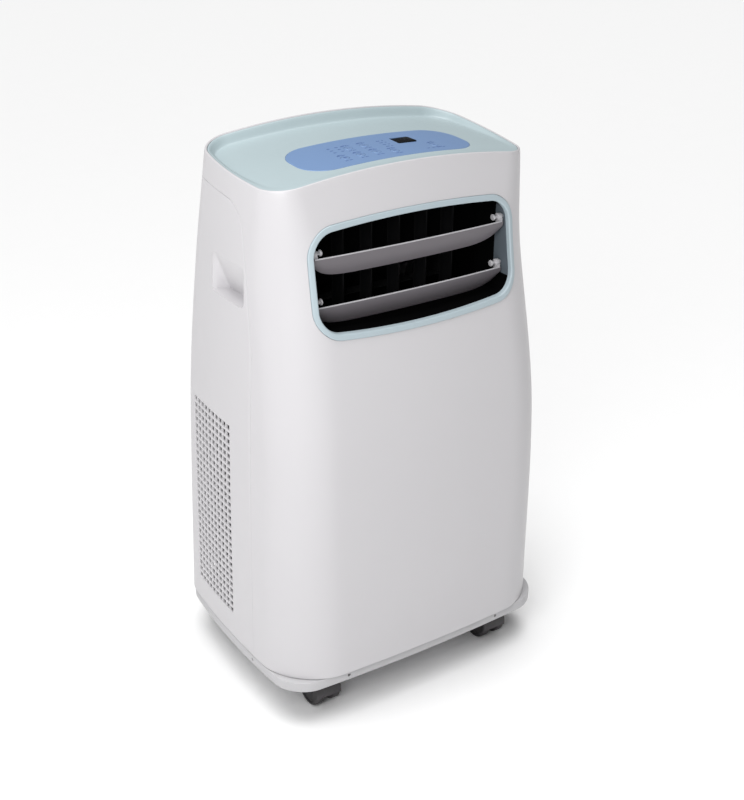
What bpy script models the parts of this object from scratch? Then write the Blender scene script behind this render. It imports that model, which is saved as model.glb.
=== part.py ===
"""Portable air conditioner on four twin-wheel casters.

Frame: metres, +Z up, +X to the right as seen from the front, the front faces -Y,
the origin is on the floor under the middle of the cabinet.
"""

import math

import bmesh
import bpy
from mathutils import Matrix, Vector

# ---- Driving dimensions, in metres -------------------------------------------------

# Cabinet sections: height, width, depth, y of the centre, front and back corner radius,
# and how far the front and back faces bow outward in their middle.
SECTIONS = (
    (0.0714, 0.4085, 0.3277, 0.0000, 0.0724, 0.0561, 0.0075, 0.0082),
    (0.3672, 0.3914, 0.3120, -0.0040, 0.0612, 0.0561, 0.0075, 0.0082),
    (0.5712, 0.3711, 0.2594, -0.0006, 0.0612, 0.0561, 0.0075, 0.0082),
    (0.7140, 0.3588, 0.1917, -0.0121, 0.0330, 0.0360, 0.0002, 0.0002),
)
SIDE_BOW = 0.0105
SEAM_Z, RIM_Z = SECTIONS[0][0], SECTIONS[-1][0]
LEAN_Z = SECTIONS[2][0]
RIM_DOME, RIM_RISE = 0.0156, 0.1087
RIM_HALF_WIDTH, RIM_Y = SECTIONS[-1][1] / 2, SECTIONS[-1][3]
WALL = 0.003
GAP = 0.0004

# Steps around the cabinet's outline: per corner arc, per side, per front or back.
ARC_STEPS, SIDE_STEPS, FACE_STEPS = 5, 3, 6
ROW_HEIGHTS = (0.0714, 0.22, 0.3672, 0.46, 0.52, 0.5712, 0.62, 0.67, 0.714)

# Reach of the cutters: sideways past the cabinet, above it, behind the front and ahead of the back.
OUTSIDE, ABOVE, FRONT_ONLY_Y, BACK_ONLY_Y = 0.3, 0.9, -0.02, 0.03

# Parting line between the front shell and the side panels, seen from the side.
PART_Y_LOW, PART_Y_HIGH = -0.070, -0.050
PART_BEND_Z = 0.50
PART_CORNER, PART_TOP_Z, PART_RISE, PART_STEPS = 0.040, 0.682, RIM_RISE * 0.75, 6
REAR_PANEL_HALF = 0.148

# Base tray and casters.
BASE_LOW, BASE_TOP, BASE_FLOOR = 0.055, 0.070, 0.060
BASE_SIDE_INSET, BASE_END_INSET, BASE_FORWARD, BASE_CORNER = 0.0005, 0.0095, 0.0045, 0.036
BASE_TAPER, BASE_TAPER_H = 0.0015, 0.004
BOSS_R, BOSS_LOW, BOSS_TOP, BORE_LOW, BORE_TOP = 0.0105, 0.0555, 0.0795, 0.044, 0.076
CASTER_X, CASTER_FRONT, CASTER_REAR, CASTER_TRAIL = 0.139, -0.1250, 0.113, 0.010
WHEEL_R, WHEEL_INNER, WHEEL_OUTER, WHEEL_EDGE, WHEEL_SIDES = 0.0255, 0.0065, 0.0186, 0.0018, 20
HOOD_R, HOOD_WELL_R, HOOD_HALF, HOOD_LIFT = 0.0272, 0.0263, 0.0190, 0.004
WEB_HALF, WEB_DEPTH, WEB_BELOW, WEB_ABOVE = 0.0059, 0.014, 0.008, 0.020
AXLE_R, AXLE_HALF, STEM_R, STEM_LOW, STEM_TOP = 0.0030, 0.0168, 0.0055, 0.045, 0.075

# Air outlet: ring, cheeks, louvers and vanes.
RING_HALF_W, RING_LOW, RING_HIGH = 0.1472, 0.5332, 0.6593
RING_CORNER, RING_BOW, RING_BAND = 0.033, 0.0082, 0.0073
RING_PROUD, RING_DEPTH = 0.0016, 0.006
CHEEK_X, CHEEK_T, CHEEK_BACK = 0.1390, 0.0022, -0.098
CHEEK_LOW, CHEEK_HIGH = 0.5560, 0.6420
DUCT_HALF_W, DUCT_LOW, DUCT_HIGH, DUCT_BACK, DUCT_T = 0.1450, 0.5345, 0.6580, -0.045, 0.0025
DUCT_CORNER, DUCT_INNER_CORNER, DUCT_BOW = 0.012, 0.010, 0.0075
MOUTH_HALF_W, MOUTH_LOW, MOUTH_HIGH = 0.098, 0.5420, 0.5680
LOUVER_HALF, LOUVER_WIDTH, LOUVER_T = 0.1365, 0.0295, 0.0022
LOUVER_TILT = math.radians(23.0)
LOUVER_PIVOT_Y = -0.1105
LOUVER_PIVOTS = {"louver_upper": 0.6297, "louver_lower": 0.5697}
LOUVER_BOW, LOUVER_TAPER = 0.0045, 0.68
EDGE_BELOW_PIVOT, EDGE_BEFORE_PIVOT = 0.0052, 0.0055
EAR_INNER, EAR_OUTER = 0.1305, LOUVER_HALF
CRANK_BACK, CRANK_DOWN, CRANK_END = 0.0140, 0.0060, -0.1365
ARM_INNER, ARM_OUTER = -0.1295, -0.1317
PIVOT_R, PIN_R, PIN_HOLE_R = 0.0024, 0.0016, 0.0020
PIVOT_INNER, PIVOT_END, MOTOR_END = 0.1240, 0.1435, 0.152
LINK_OUTER, LINK_INNER, LINK_HALF, LINK_CORNER = -0.1358, -0.1342, 0.0034, 0.0030
MOTOR_FROM, MOTOR_TO, MOTOR_R, SOCKET_FROM = -0.1570, -0.1458, 0.0120, -0.1535
VANE_X = (-0.080, -0.040, 0.0, 0.040, 0.080)
VANE_PIVOT_Y, VANE_FRONT, VANE_BACK, VANE_T = -0.064, -0.088, -0.050, 0.0018
VANE_LOW, VANE_HIGH, VANE_PIN_LENGTH, VANE_CRANK_LENGTH = 0.5440, 0.6510, 0.1380, 0.0090
VANE_CRANK, VANE_BAR_LOW, VANE_BAR_TOP, VANE_BAR_HALF, VANE_BAR_OVER = 0.014, 0.5402, 0.5420, 0.0036, 0.006

# Top: dished cover, control panel and keys.
DISH_Z, DISH_DOME, DISH_RISE, DISH_LIP, DISH_EDGE = 0.708, 0.0140, 0.050, 0.0012, 0.012
PANEL_X, PANEL_Y, PANEL_W, PANEL_D, PANEL_CORNER = 0.002, -0.0405, 0.241, 0.088, 0.036
PANEL_T = 0.0036
DISPLAY = (0.029, 0.056, -0.042, -0.019)
KEYS = {
    "key_mode": (-0.058, -0.058),
    "key_fan": (-0.036, -0.058),
    "key_timer": (-0.014, -0.058),
    "key_swing": (0.008, -0.064),
    "key_up": (-0.036, -0.030),
    "key_down": (-0.014, -0.030),
    "key_power": (0.068, -0.060),
}
KEY_R, KEY_FLANGE_R, KEY_HOLE_R = 0.0055, 0.0068, 0.0059
KEY_PROUD, KEY_FREE, KEY_FLANGE_T = 0.0009, 0.0014, 0.0012
DISPLAY_GAP, DISPLAY_T = 0.0003, 0.003
COVER_LIP_WIDTH = 0.0026
BOARD_HALF_W, BOARD_FRONT, BOARD_REAR, BOARD_Z, BOARD_T = 0.085, -0.078, -0.006, 0.7065, 0.0016

# Side panels: air intake slots and grips.
SLOT_LOW, SLOT_HIGH, SLOT_ROWS = 0.108, 0.390, 14
SLOT_FRONT, SLOT_BACK, SLOT_COLUMNS = -0.022, 0.088, 2
GRIP_Y, GRIP_HALF, GRIP_LOW, GRIP_HIGH = -0.011, 0.040, 0.555, 0.606
GRIP_DEPTH, GRIP_WALL, GRIP_CORNER = 0.022, 0.0025, 0.008
SLOT_RIB, SLOT_SHARE, SLOT_X = 0.006, 0.6, 0.205

# Rear: removable intake grille, exhaust collar, plugs and cord gland.
GRILLE_HALF, GRILLE_LOW, GRILLE_HIGH, GRILLE_SLOTS = 0.120, 0.450, 0.640, 7
GRILLE_CORNER, GRILLE_EDGE, GRILLE_SLOT_X, GRILLE_SLOT_W = 0.012, 0.010, 0.0555, 0.105
FILTER_HALF, FILTER_LOW, FILTER_HIGH, FILTER_BEHIND, FILTER_T = 0.114, 0.458, 0.632, 0.0075, 0.0050
FILTER_COLUMNS, FILTER_ROWS, FILTER_PITCH_X, FILTER_PITCH_Z, FILTER_RIB = 4, 3, 0.055, 0.058, 0.008
COLLAR_Z, COLLAR_R, COLLAR_BORE, COLLAR_FLANGE = 0.300, 0.0740, 0.0700, 0.0810
COLLAR_FRONT, COLLAR_REAR, COLLAR_LIP, COLLAR_NECK = 0.118, 0.1690, 0.012, 0.014
COLLAR_SIDES = 32
DRAINS = {"drain_plug_low": (0.085, 0.100), "drain_plug_high": (-0.100, 0.432)}
DRAIN_R, DRAIN_HEAD_R, DRAIN_DEPTH = 0.0070, 0.0095, 0.0160
GLAND_AT, GLAND_SIDES = (0.125, 0.130), 16
GLAND_R, GLAND_HEAD_R, GLAND_BORE, GLAND_DEPTH = 0.0085, 0.0110, 0.0055, 0.0140
HEAD_LOW, HEAD_HIGH = 0.0008, 0.0030
REAR_CUT_Y, REAR_CUT_DEPTH = 0.16, 0.1

# Blowers: centre, housing radius, half length, mouth from (y, z) to (y, z), inlet radius.
BLOWERS = {
    "condenser": ((0.0, 0.030, 0.290), 0.078, 0.074, (0.030, 0.224), (0.1165, 0.366), 0.046),
    "evaporator": ((0.0, 0.024, 0.512), 0.060, 0.100, (DUCT_BACK + 0.0005, 0.5400), (0.024, 0.5700), 0.040),
}
BLOWER_WALL, BLOWER_SIDES, BLOWER_BLADES = 0.002, 28, 8
WHEEL_SHARE, WHEEL_END_GAP, WHEEL_RIM, WHEEL_RIM_T, WHEEL_DISC_T = 0.80, 0.010, 0.010, 0.003, 0.004
BLADE_CHORD, BLADE_T, BLADE_LEAN, BLADE_IN = 0.0075, 0.0016, 0.6, 0.0052
SHAFT_R, SHAFT_PAST, SHAFT_BORE_R, SHAFT_BORE = 0.004, 0.012, 0.0046, 0.012
BLOWER_MOTOR_GAP, BLOWER_MOTOR_LENGTH, BLOWER_MOTOR_SHARE = 0.004, 0.040, 0.62

# Works inside: deck, heat exchangers, compressor, electrical box and pipes.
DECK_LOW, DECK_TOP, DECK_OUTLINE_Z, DECK_INSET = 0.4160, 0.4185, 0.44, 0.007
DECK_SLOT = ((0.135, -0.075, 0.40), (0.175, -0.030, 0.43))
CONDENSER_COIL = ((-0.184, -0.030, 0.100), (-0.158, 0.096, 0.380))
COIL_HALF, COIL_LOW, COIL_HIGH, COIL_BEHIND, COIL_T = 0.122, 0.450, 0.640, 0.018, 0.022
COMPRESSOR_AT, ACCUMULATOR_AT = (0.120, -0.086, 0.0775), (0.046, -0.110, 0.1100)
COMPRESSOR_PROFILE = (
    (0, 0.225), (0.020, 0.223), (0.040, 0.212), (0.050, 0.190), (0.050, 0.030), (0.044, 0.010), (0.020, 0.002),
    (0, 0.0),
)
ACCUMULATOR_PROFILE = ((0, 0.130), (0.010, 0.128), (0.017, 0.120), (0.017, 0.010), (0.010, 0.002), (0, 0.0))
ELECTRICAL_BOX = ((-0.125, -0.146, 0.110), (-0.020, -0.104, 0.300))
DISCHARGE_ROUTE = (
    (0.120, -0.086, 0.3040), (0.120, -0.086, 0.3900), (-0.171, -0.086, 0.3900), (-0.171, 0.000, 0.3900),
    (-0.171, 0.000, 0.3808),
)
SUCTION_ROUTE = (
    (0.046, -0.110, 0.2408), (0.046, -0.110, 0.3700), (0.150, -0.050, 0.3700), (0.150, -0.050, 0.4500),
    (0.150, 0.095, 0.4500), (0.1228, 0.095, 0.4500),
)
DISCHARGE_R, SUCTION_R, DISCHARGE_BEND, SUCTION_BEND = 0.0035, 0.0045, 0.008, 0.010

COLOURS = {
    "shell_white": (0.80, 0.79, 0.80),
    "panel_grey": (0.66, 0.65, 0.66),
    "cover_blue_grey": (0.53, 0.62, 0.66),
    "ring_blue_grey": (0.42, 0.52, 0.56),
    "overlay_blue": (0.22, 0.35, 0.62),
    "louver_grey": (0.22, 0.21, 0.23),
    "black_plastic": (0.02, 0.02, 0.02),
    "dark_rubber": (0.04, 0.035, 0.04),
    "filter_grey": (0.12, 0.13, 0.14),
    "galvanised": (0.55, 0.56, 0.58),
    "aluminium_fin": (0.62, 0.64, 0.66),
    "copper": (0.72, 0.40, 0.24),
    "compressor_black": (0.03, 0.03, 0.035),
    "board_green": (0.03, 0.18, 0.08),
    "foam_white": (0.78, 0.78, 0.76),
}
METALLIC = {"galvanised": 0.9, "aluminium_fin": 0.9, "copper": 1.0}


# ---- Scene and material helpers ----------------------------------------------------

def clear_scene():
    for thing in list(bpy.data.objects):
        bpy.data.objects.remove(thing)


def new_collection(name):
    made = bpy.data.collections.new(name)
    bpy.context.scene.collection.children.link(made)
    return made


def make_material(name):
    made = bpy.data.materials.new(name)
    made.use_nodes = True
    shader = made.node_tree.nodes["Principled BSDF"]
    shader.inputs["Base Color"].default_value = (*COLOURS[name], 1.0)
    shader.inputs["Roughness"].default_value = 0.35 if name in METALLIC else 0.5
    shader.inputs["Metallic"].default_value = METALLIC.get(name, 0.0)
    return made


clear_scene()
PARTS = new_collection("portable_air_conditioner")
CUTTERS = new_collection("cutters")
CUTTERS.hide_render = True
MATERIALS = {name: make_material(name) for name in COLOURS}


def as_part(thing, slot, origin=None):
    """Put a shape among the parts, with its material and with its origin where it turns."""
    PARTS.objects.link(thing)
    thing.data.materials.clear()
    thing.data.materials.append(MATERIALS[slot])
    if origin is not None:
        thing.data.transform(Matrix.Translation(-Vector(origin)))
        thing.location = origin
    if thing.type == "MESH":
        thing.data.shade_smooth()
        thing.data.set_sharp_from_angle(angle=math.radians(35))
    return thing


def as_cutter(thing):
    CUTTERS.objects.link(thing)
    thing.hide_render = True
    thing.display_type = "WIRE"
    return thing


def object_from(name, mesh_data):
    mesh_data.normal_update()
    bmesh.ops.recalc_face_normals(mesh_data, faces=mesh_data.faces)
    mesh = bpy.data.meshes.new(name)
    mesh_data.to_mesh(mesh)
    mesh_data.free()
    return bpy.data.objects.new(name, mesh)


def boolean(thing, operation, *others):
    for other in others:
        modifier = thing.modifiers.new(f"{operation.lower()} {other.name}", "BOOLEAN")
        modifier.operation = operation
        modifier.object = other
    return thing


def cut(thing, *cutters):
    return boolean(thing, "DIFFERENCE", *cutters)


def keep(thing, *cutters):
    return boolean(thing, "INTERSECT", *cutters)


def join(thing, *others):
    return boolean(thing, "UNION", *others)


# ---- Plain shapes ------------------------------------------------------------------

def box(name, low, high):
    size = Vector(high) - Vector(low)
    centre = (Vector(low) + Vector(high)) / 2
    mesh_data = bmesh.new()
    place = Matrix.Translation(centre) @ Matrix.Diagonal((*size, 1.0))
    bmesh.ops.create_cube(mesh_data, size=1.0, matrix=place)
    return object_from(name, mesh_data)


def turn_to(axis):
    """The rotation that takes +Z to the named axis."""
    turns = {
        "X": Matrix.Rotation(math.radians(90), 4, "Y"),
        "Y": Matrix.Rotation(math.radians(-90), 4, "X"),
    }
    return turns.get(axis, Matrix.Identity(4))


def cylinder(name, centre, radius, length, axis="Z", sides=16):
    mesh_data = bmesh.new()
    bmesh.ops.create_cone(
        mesh_data,
        cap_ends=True,
        segments=sides,
        radius1=radius,
        radius2=radius,
        depth=length,
        matrix=Matrix.Translation(centre) @ turn_to(axis),
    )
    return object_from(name, mesh_data)


def pin(name, x_from, x_to, y, z, radius, sides=8):
    """A cylinder along X between two x values."""
    return cylinder(name, ((x_from + x_to) / 2, y, z), radius, x_to - x_from, "X", sides)


def made_solid(thing):
    """The mesh that Blender makes of an unlinked curve or modified mesh, which is then removed."""
    bpy.context.scene.collection.objects.link(thing)
    graph = bpy.context.evaluated_depsgraph_get()
    solid = bpy.data.meshes.new_from_object(thing.evaluated_get(graph))
    bpy.data.objects.remove(thing)
    return solid


def ring_round(centre_a, centre_b, radius, sides):
    """Points of a circle in the plane of the two given coordinates."""
    angles = [2 * math.pi * i / sides for i in range(sides)]
    return [(centre_a + radius * math.cos(a), centre_b + radius * math.sin(a)) for a in angles]


def turned(name, profile, centre, axis="Z", sides=16):
    """A profile of (radius, height) from the top down, swept round the axis."""
    mesh = bpy.data.meshes.new(name)
    edges = [(i, i + 1) for i in range(len(profile) - 1)]
    mesh.from_pydata([(r, 0.0, h) for r, h in profile], edges, [])
    thing = bpy.data.objects.new(name, mesh)
    screw = thing.modifiers.new("Screw", "SCREW")
    screw.steps = screw.render_steps = sides
    screw.use_merge_vertices = True
    screw.merge_threshold = 0.00001
    solid = made_solid(thing)
    solid.name = name
    solid.transform(Matrix.Translation(centre) @ turn_to(axis))
    return bpy.data.objects.new(name, solid)


def prism(name, outline, low, high, axis="Z"):
    """A flat outline extruded from low to high. Axis X takes (y, z) points, Y takes (x, z)."""
    curve = bpy.data.curves.new(name, "CURVE")
    curve.dimensions = "2D"
    curve.fill_mode = "BOTH"
    curve.extrude = (high - low) / 2
    spline = curve.splines.new("POLY")
    spline.points.add(len(outline) - 1)
    for point, (u, v) in zip(spline.points, outline):
        point.co = (u, v, 0.0, 1.0)
    spline.use_cyclic_u = True
    solid = made_solid(bpy.data.objects.new(name, curve))
    middle = (low + high) / 2
    frames = {
        "X": Matrix(((0, 0, 1, middle), (1, 0, 0, 0), (0, 1, 0, 0), (0, 0, 0, 1))),
        "Y": Matrix(((1, 0, 0, 0), (0, 0, 1, middle), (0, 1, 0, 0), (0, 0, 0, 1))),
        "Z": Matrix.Translation((0, 0, middle)),
    }
    mesh_data = bmesh.new()
    mesh_data.from_mesh(solid)
    bpy.data.meshes.remove(solid)
    bmesh.ops.remove_doubles(mesh_data, verts=mesh_data.verts, dist=0.00002)
    mesh_data.transform(frames[axis])
    return object_from(name, mesh_data)


def rounded_rectangle(half_w, half_h, radius, centre=(0.0, 0.0), steps=5, bow=0.0):
    """Points round a rectangle whose top and bottom edges bow outward."""
    points = []
    for number, (sx, sy) in enumerate(((1, 1), (-1, 1), (-1, -1), (1, -1))):
        for step in range(steps + 1):
            angle = math.radians(90) * (number + step / steps)
            points.append((sx * (half_w - radius) + radius * math.cos(angle),
                           sy * (half_h - radius) + radius * math.sin(angle)))
        if bow and number in (0, 2):
            run = half_w - radius
            points += [(sx * run * (1 - 2 * i / FACE_STEPS), sy * half_h) for i in range(1, FACE_STEPS)]
    bowed = []
    for u, v in points:
        lift = math.copysign(bow, v) * (1 - (u / half_w) ** 2) * abs(v / half_h)
        bowed.append((centre[0] + u, centre[1] + v + lift))
    return bowed


def loft(name, rings, closed=False):
    """Skin between rings of equally many points: a tube wall if closed, else a capped solid."""
    mesh_data = bmesh.new()
    rows = [[mesh_data.verts.new(point) for point in ring] for ring in rings]
    pairs = list(zip(rows, rows[1:])) + ([(rows[-1], rows[0])] if closed else [])
    for lower, upper in pairs:
        for i in range(len(lower)):
            j = (i + 1) % len(lower)
            mesh_data.faces.new((lower[i], lower[j], upper[j], upper[i]))
    if not closed:
        for row in (rows[0], rows[-1]):
            middle = sum((vert.co for vert in row), Vector()) / len(row)
            hub = mesh_data.verts.new(middle)
            for i in range(len(row)):
                mesh_data.faces.new((row[i], row[(i + 1) % len(row)], hub))
    return object_from(name, mesh_data)


def tube(name, route, radius):
    curve = bpy.data.curves.new(name, "CURVE")
    curve.dimensions = "3D"
    curve.bevel_depth = radius
    curve.bevel_resolution = 1
    curve.use_fill_caps = True
    spline = curve.splines.new("POLY")
    spline.points.add(len(route) - 1)
    for point, place in zip(spline.points, route):
        point.co = (*place, 1.0)
    return bpy.data.objects.new(name, curve)


def round_corners(corners, radius, steps=4):
    """A polyline through the corners, each inner corner replaced by a short curve."""
    points = [Vector(corners[0])]
    for before, corner, after in zip(corners, corners[1:], corners[2:]):
        corner = Vector(corner)
        start = corner + (Vector(before) - corner).normalized() * radius
        end = corner + (Vector(after) - corner).normalized() * radius
        for step in range(steps + 1):
            t = step / steps
            points.append(start * (1 - t) ** 2 + corner * 2 * t * (1 - t) + end * t ** 2)
    return points + [Vector(corners[-1])]


# ---- Cabinet surface ---------------------------------------------------------------

def smooth_slopes(heights, values):
    """Slopes of a monotone cubic through the values, so that no face overshoots."""
    rises = [high - low for low, high in zip(heights, heights[1:])]
    steps = [(high - low) / rise for low, high, rise in zip(values, values[1:], rises)]
    slopes = [steps[0]]
    for left, right in zip(steps, steps[1:]):
        slopes.append(0.0 if left * right <= 0 else 2 * left * right / (left + right))
    return slopes + [steps[-1]]


def section_at(z):
    """Width, depth, centre y, corner radii and bows of the cabinet at a height."""
    heights = [section[0] for section in SECTIONS]
    span = max(i for i in range(len(heights) - 1) if z >= heights[i] or i == 0)
    rise = heights[span + 1] - heights[span]
    t = (z - heights[span]) / rise
    found = []
    for column in zip(*SECTIONS):
        slopes = smooth_slopes(heights, column)
        low, high = column[span], column[span + 1]
        found.append(
            low * (1 + 2 * t) * (1 - t) ** 2 + slopes[span] * rise * t * (1 - t) ** 2
            + high * t * t * (3 - 2 * t) - slopes[span + 1] * rise * t * t * (1 - t)
        )
    return found[1:]


def outline_at(z, inset=0.0):
    """The cabinet's outline at a height, as (x, y) points, moved inward by inset."""
    width, depth, y_mid, front_r, back_r, front_bow, back_bow = section_at(z)
    half_w, half_d = width / 2 - inset, depth / 2 - inset
    corners = ((1, -1, front_r), (1, 1, back_r), (-1, 1, back_r), (-1, -1, front_r))
    points = []
    for number, (sx, sy, radius) in enumerate(corners):
        radius -= inset
        for step in range(ARC_STEPS + 1):
            angle = math.radians(90) * (number - 1 + step / ARC_STEPS)
            points.append((sx * (half_w - radius) + radius * math.cos(angle),
                           sy * (half_d - radius) + radius * math.sin(angle)))
        nx, ny, next_r = corners[(number + 1) % 4]
        next_r -= inset
        start = points[-1]
        end = (nx * half_w, ny * (half_d - next_r)) if sx == nx else (nx * (half_w - next_r), ny * half_d)
        steps = SIDE_STEPS if sx == nx else FACE_STEPS
        points += [tuple(a + (b - a) * i / steps for a, b in zip(start, end)) for i in range(1, steps)]
    bowed = []
    for x, y in points:
        face_bow = back_bow if y > 0 else front_bow
        across = math.copysign(SIDE_BOW, x) * (1 - (y / half_d) ** 2) * abs(x / half_w)
        along = math.copysign(face_bow, y) * (1 - (x / half_w) ** 2) * abs(y / half_d)
        bowed.append((x + across, y + along + y_mid))
    return bowed


def rim_height(x, y):
    return RIM_Z + RIM_DOME * (1 - (x / RIM_HALF_WIDTH) ** 2) + RIM_RISE * (y - RIM_Y)


def dish_height(x, y):
    return DISH_Z + DISH_DOME * (1 - (x / RIM_HALF_WIDTH) ** 2) + DISH_RISE * (y - RIM_Y)


def cabinet_ring(z, inset=0.0):
    """One ring of the cabinet: level low down, following the rim higher up."""
    ring = []
    blend = max(0.0, (z - LEAN_Z) / (RIM_Z - LEAN_Z)) ** 2
    for x, y in outline_at(z, inset):
        ring.append((x, y, z + blend * (rim_height(x, y) - RIM_Z)))
    return ring


def scaled(ring, factor, height, centre_y=RIM_Y):
    """A ring drawn in towards the middle, each point put at height(x, y)."""
    points = [(x * factor, centre_y + (y - centre_y) * factor) for x, y, *_ in ring]
    return [(x, y, height(x, y)) for x, y in points]


def cabinet_solid(name, inset=0.0):
    """The cabinet's filled volume, moved inward by inset, closed under its domed top."""
    rings = [cabinet_ring(z, inset) for z in ROW_HEIGHTS]
    rings += [scaled(rings[-1], factor, rim_height) for factor in (0.7, 0.4)]
    return loft(name, rings)


def cabinet_core(name, inset):
    """The same volume carried on below the seam and above the rim, to hollow a shell right through."""
    rings = [cabinet_ring(z, inset) for z in ROW_HEIGHTS]
    below = [(x, y, SEAM_Z - 0.01) for x, y, _ in rings[0]]
    last, top = rings[-2:]
    above = [tuple(t + (t - s) * 1.2 for s, t in zip(start, end)) for start, end in zip(last, top)]
    return loft(name, [below, *rings[1:-1], above])


def front_y(x, z):
    """Y of the cabinet's front face."""
    width, depth, y_mid, _, _, bow, _ = section_at(z)
    return y_mid - depth / 2 - bow * (1 - (2 * x / width) ** 2)


def back_y(x, z):
    width, depth, y_mid, _, _, _, bow = section_at(z)
    return y_mid + depth / 2 + bow * (1 - (2 * x / width) ** 2)


def parting_line(shift):
    """The line between front shell and side panels as (y, z), moved back and down by shift."""
    line = [(PART_Y_LOW + shift, 0.0), (PART_Y_LOW + shift, PART_BEND_Z)]
    corner_y = PART_Y_HIGH + PART_CORNER
    for step in range(PART_STEPS + 1):
        angle = math.radians(180 - 90 * step / PART_STEPS)
        line.append((corner_y + (PART_CORNER - shift) * math.cos(angle),
                     PART_TOP_Z - PART_CORNER + (PART_CORNER - shift) * math.sin(angle)))
    line.append((OUTSIDE, PART_TOP_Z - shift + PART_RISE * (OUTSIDE - corner_y)))
    return line


# ---- Cabinet shells ----------------------------------------------------------------

def region_in_front(name, shift):
    outline = parting_line(shift) + [(OUTSIDE, ABOVE), (-OUTSIDE, ABOVE), (-OUTSIDE, 0.0)]
    return as_cutter(prism(name, outline, -OUTSIDE, OUTSIDE, "X"))


def make_shell_cutters():
    cutters = {
        "hollow": cabinet_core("hollow", WALL),
        "outlet_opening": prism("outlet_opening", ring_outline(-GAP), -OUTSIDE, FRONT_ONLY_Y, "Y"),
        "middle_region": box("middle_region", (GAP - REAR_PANEL_HALF, BACK_ONLY_Y, 0),
                             (REAR_PANEL_HALF - GAP, OUTSIDE, ABOVE)),
        "middle_cut": box("middle_cut", (-REAR_PANEL_HALF, BACK_ONLY_Y, 0), (REAR_PANEL_HALF, OUTSIDE, ABOVE)),
        "left_region": box("left_region", (-OUTSIDE, -OUTSIDE, 0), (0, OUTSIDE, ABOVE)),
        "right_region": box("right_region", (0, -OUTSIDE, 0), (OUTSIDE, OUTSIDE, ABOVE)),
    }
    return {name: as_cutter(thing) for name, thing in cutters.items()}


def ring_outline(inset):
    half_h = (RING_HIGH - RING_LOW) / 2
    return rounded_rectangle(
        RING_HALF_W - inset, half_h - inset, RING_CORNER - inset,
        (0.0, (RING_HIGH + RING_LOW) / 2), bow=RING_BOW)


def slot_cutter(side, sign):
    """All the intake slots of one side panel, as separate boxes in one cutter."""
    mesh_data = bmesh.new()
    row_pitch = (SLOT_HIGH - SLOT_LOW) / SLOT_ROWS
    column_pitch = (SLOT_BACK - SLOT_FRONT) / SLOT_COLUMNS
    size = Matrix.Diagonal((0.05, column_pitch - SLOT_RIB, row_pitch * SLOT_SHARE, 1.0))
    for row in range(SLOT_ROWS):
        for column in range(SLOT_COLUMNS):
            y = SLOT_FRONT + (column + 0.5) * column_pitch
            place = Matrix.Translation((sign * SLOT_X, y, SLOT_LOW + (row + 0.5) * row_pitch))
            bmesh.ops.create_cube(mesh_data, size=1.0, matrix=place @ size)
    return as_cutter(object_from(f"slots_{side}", mesh_data))


def grip_outline(margin):
    half_h = (GRIP_HIGH - GRIP_LOW) / 2
    centre = (GRIP_Y, (GRIP_HIGH + GRIP_LOW) / 2)
    return rounded_rectangle(GRIP_HALF + margin, half_h + margin, GRIP_CORNER, centre, 3)


def make_shells(cutters):
    ahead = region_in_front("front_region", 0.0)
    ahead_wide = region_in_front("front_region_wide", 2 * GAP)

    front = as_part(cabinet_solid("front_shell"), "shell_white")
    cut(front, cutters["hollow"])
    keep(front, ahead)
    cut(front, cutters["outlet_opening"])

    for side, sign in (("left", -1), ("right", 1)):
        panel = as_part(cabinet_solid(f"{side}_side_panel"), "shell_white")
        cut(panel, cutters["hollow"], ahead_wide, cutters["middle_cut"])
        keep(panel, cutters[f"{side}_region"])
        low, high = sorted((sign * 0.15, sign * 0.3))
        opening = as_cutter(prism(f"grip_opening_{side}", grip_outline(GAP), low, high, "X"))
        cut(panel, opening, slot_cutter(side, sign))
        make_grip(side, sign)

    rear = as_part(cabinet_solid("rear_panel"), "shell_white")
    cut(rear, cutters["hollow"], ahead_wide)
    keep(rear, cutters["middle_region"])
    cut(rear, as_cutter(grille_region("grille_opening", GAP)))
    cut(rear, rear_hole("collar_opening", 0.0, COLLAR_Z, COLLAR_FLANGE + GAP, COLLAR_SIDES))
    for name, (x, z) in DRAINS.items():
        cut(rear, rear_hole(f"{name}_hole", x, z, DRAIN_R + GAP, 12))
    cut(rear, rear_hole("gland_hole", *GLAND_AT, GLAND_R + GAP, 12))


def rear_hole(name, x, z, radius, sides):
    return as_cutter(cylinder(name, (x, REAR_CUT_Y, z), radius, REAR_CUT_DEPTH, "Y", sides))


def make_grip(side, sign):
    """A pocket flush with the side: its face slopes inward going down, to a sharp lower edge."""
    cup = as_part(cabinet_solid(f"grip_{side}"), "shell_white")
    low, high = sorted((sign * 0.150, sign * OUTSIDE))
    keep(cup, as_cutter(prism(f"grip_block_{side}", grip_outline(0.0), low, high, "X")))
    surface = section_at(GRIP_HIGH)[0] / 2 + SIDE_BOW
    back = surface - GRIP_DEPTH - GRIP_WALL - WALL
    low, high = sorted((sign * 0.1, sign * back))
    cut(cup, as_cutter(box(f"grip_trim_{side}", (low, -0.2, 0.4), (high, 0.2, 0.7))))
    half = GRIP_HALF - GRIP_WALL
    inner_top, inner_low = GRIP_HIGH - GRIP_WALL, GRIP_LOW + GRIP_WALL
    wedge = [
        (sign * OUTSIDE, inner_low), (sign * (surface - GRIP_DEPTH), inner_low),
        (sign * (surface - GRIP_DEPTH * 0.8), inner_low + 0.012), (sign * (surface - 0.001), inner_top),
        (sign * OUTSIDE, inner_top),
    ]
    cut(cup, as_cutter(prism(f"grip_hollow_{side}", wedge, GRIP_Y - half, GRIP_Y + half, "Y")))


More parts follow.
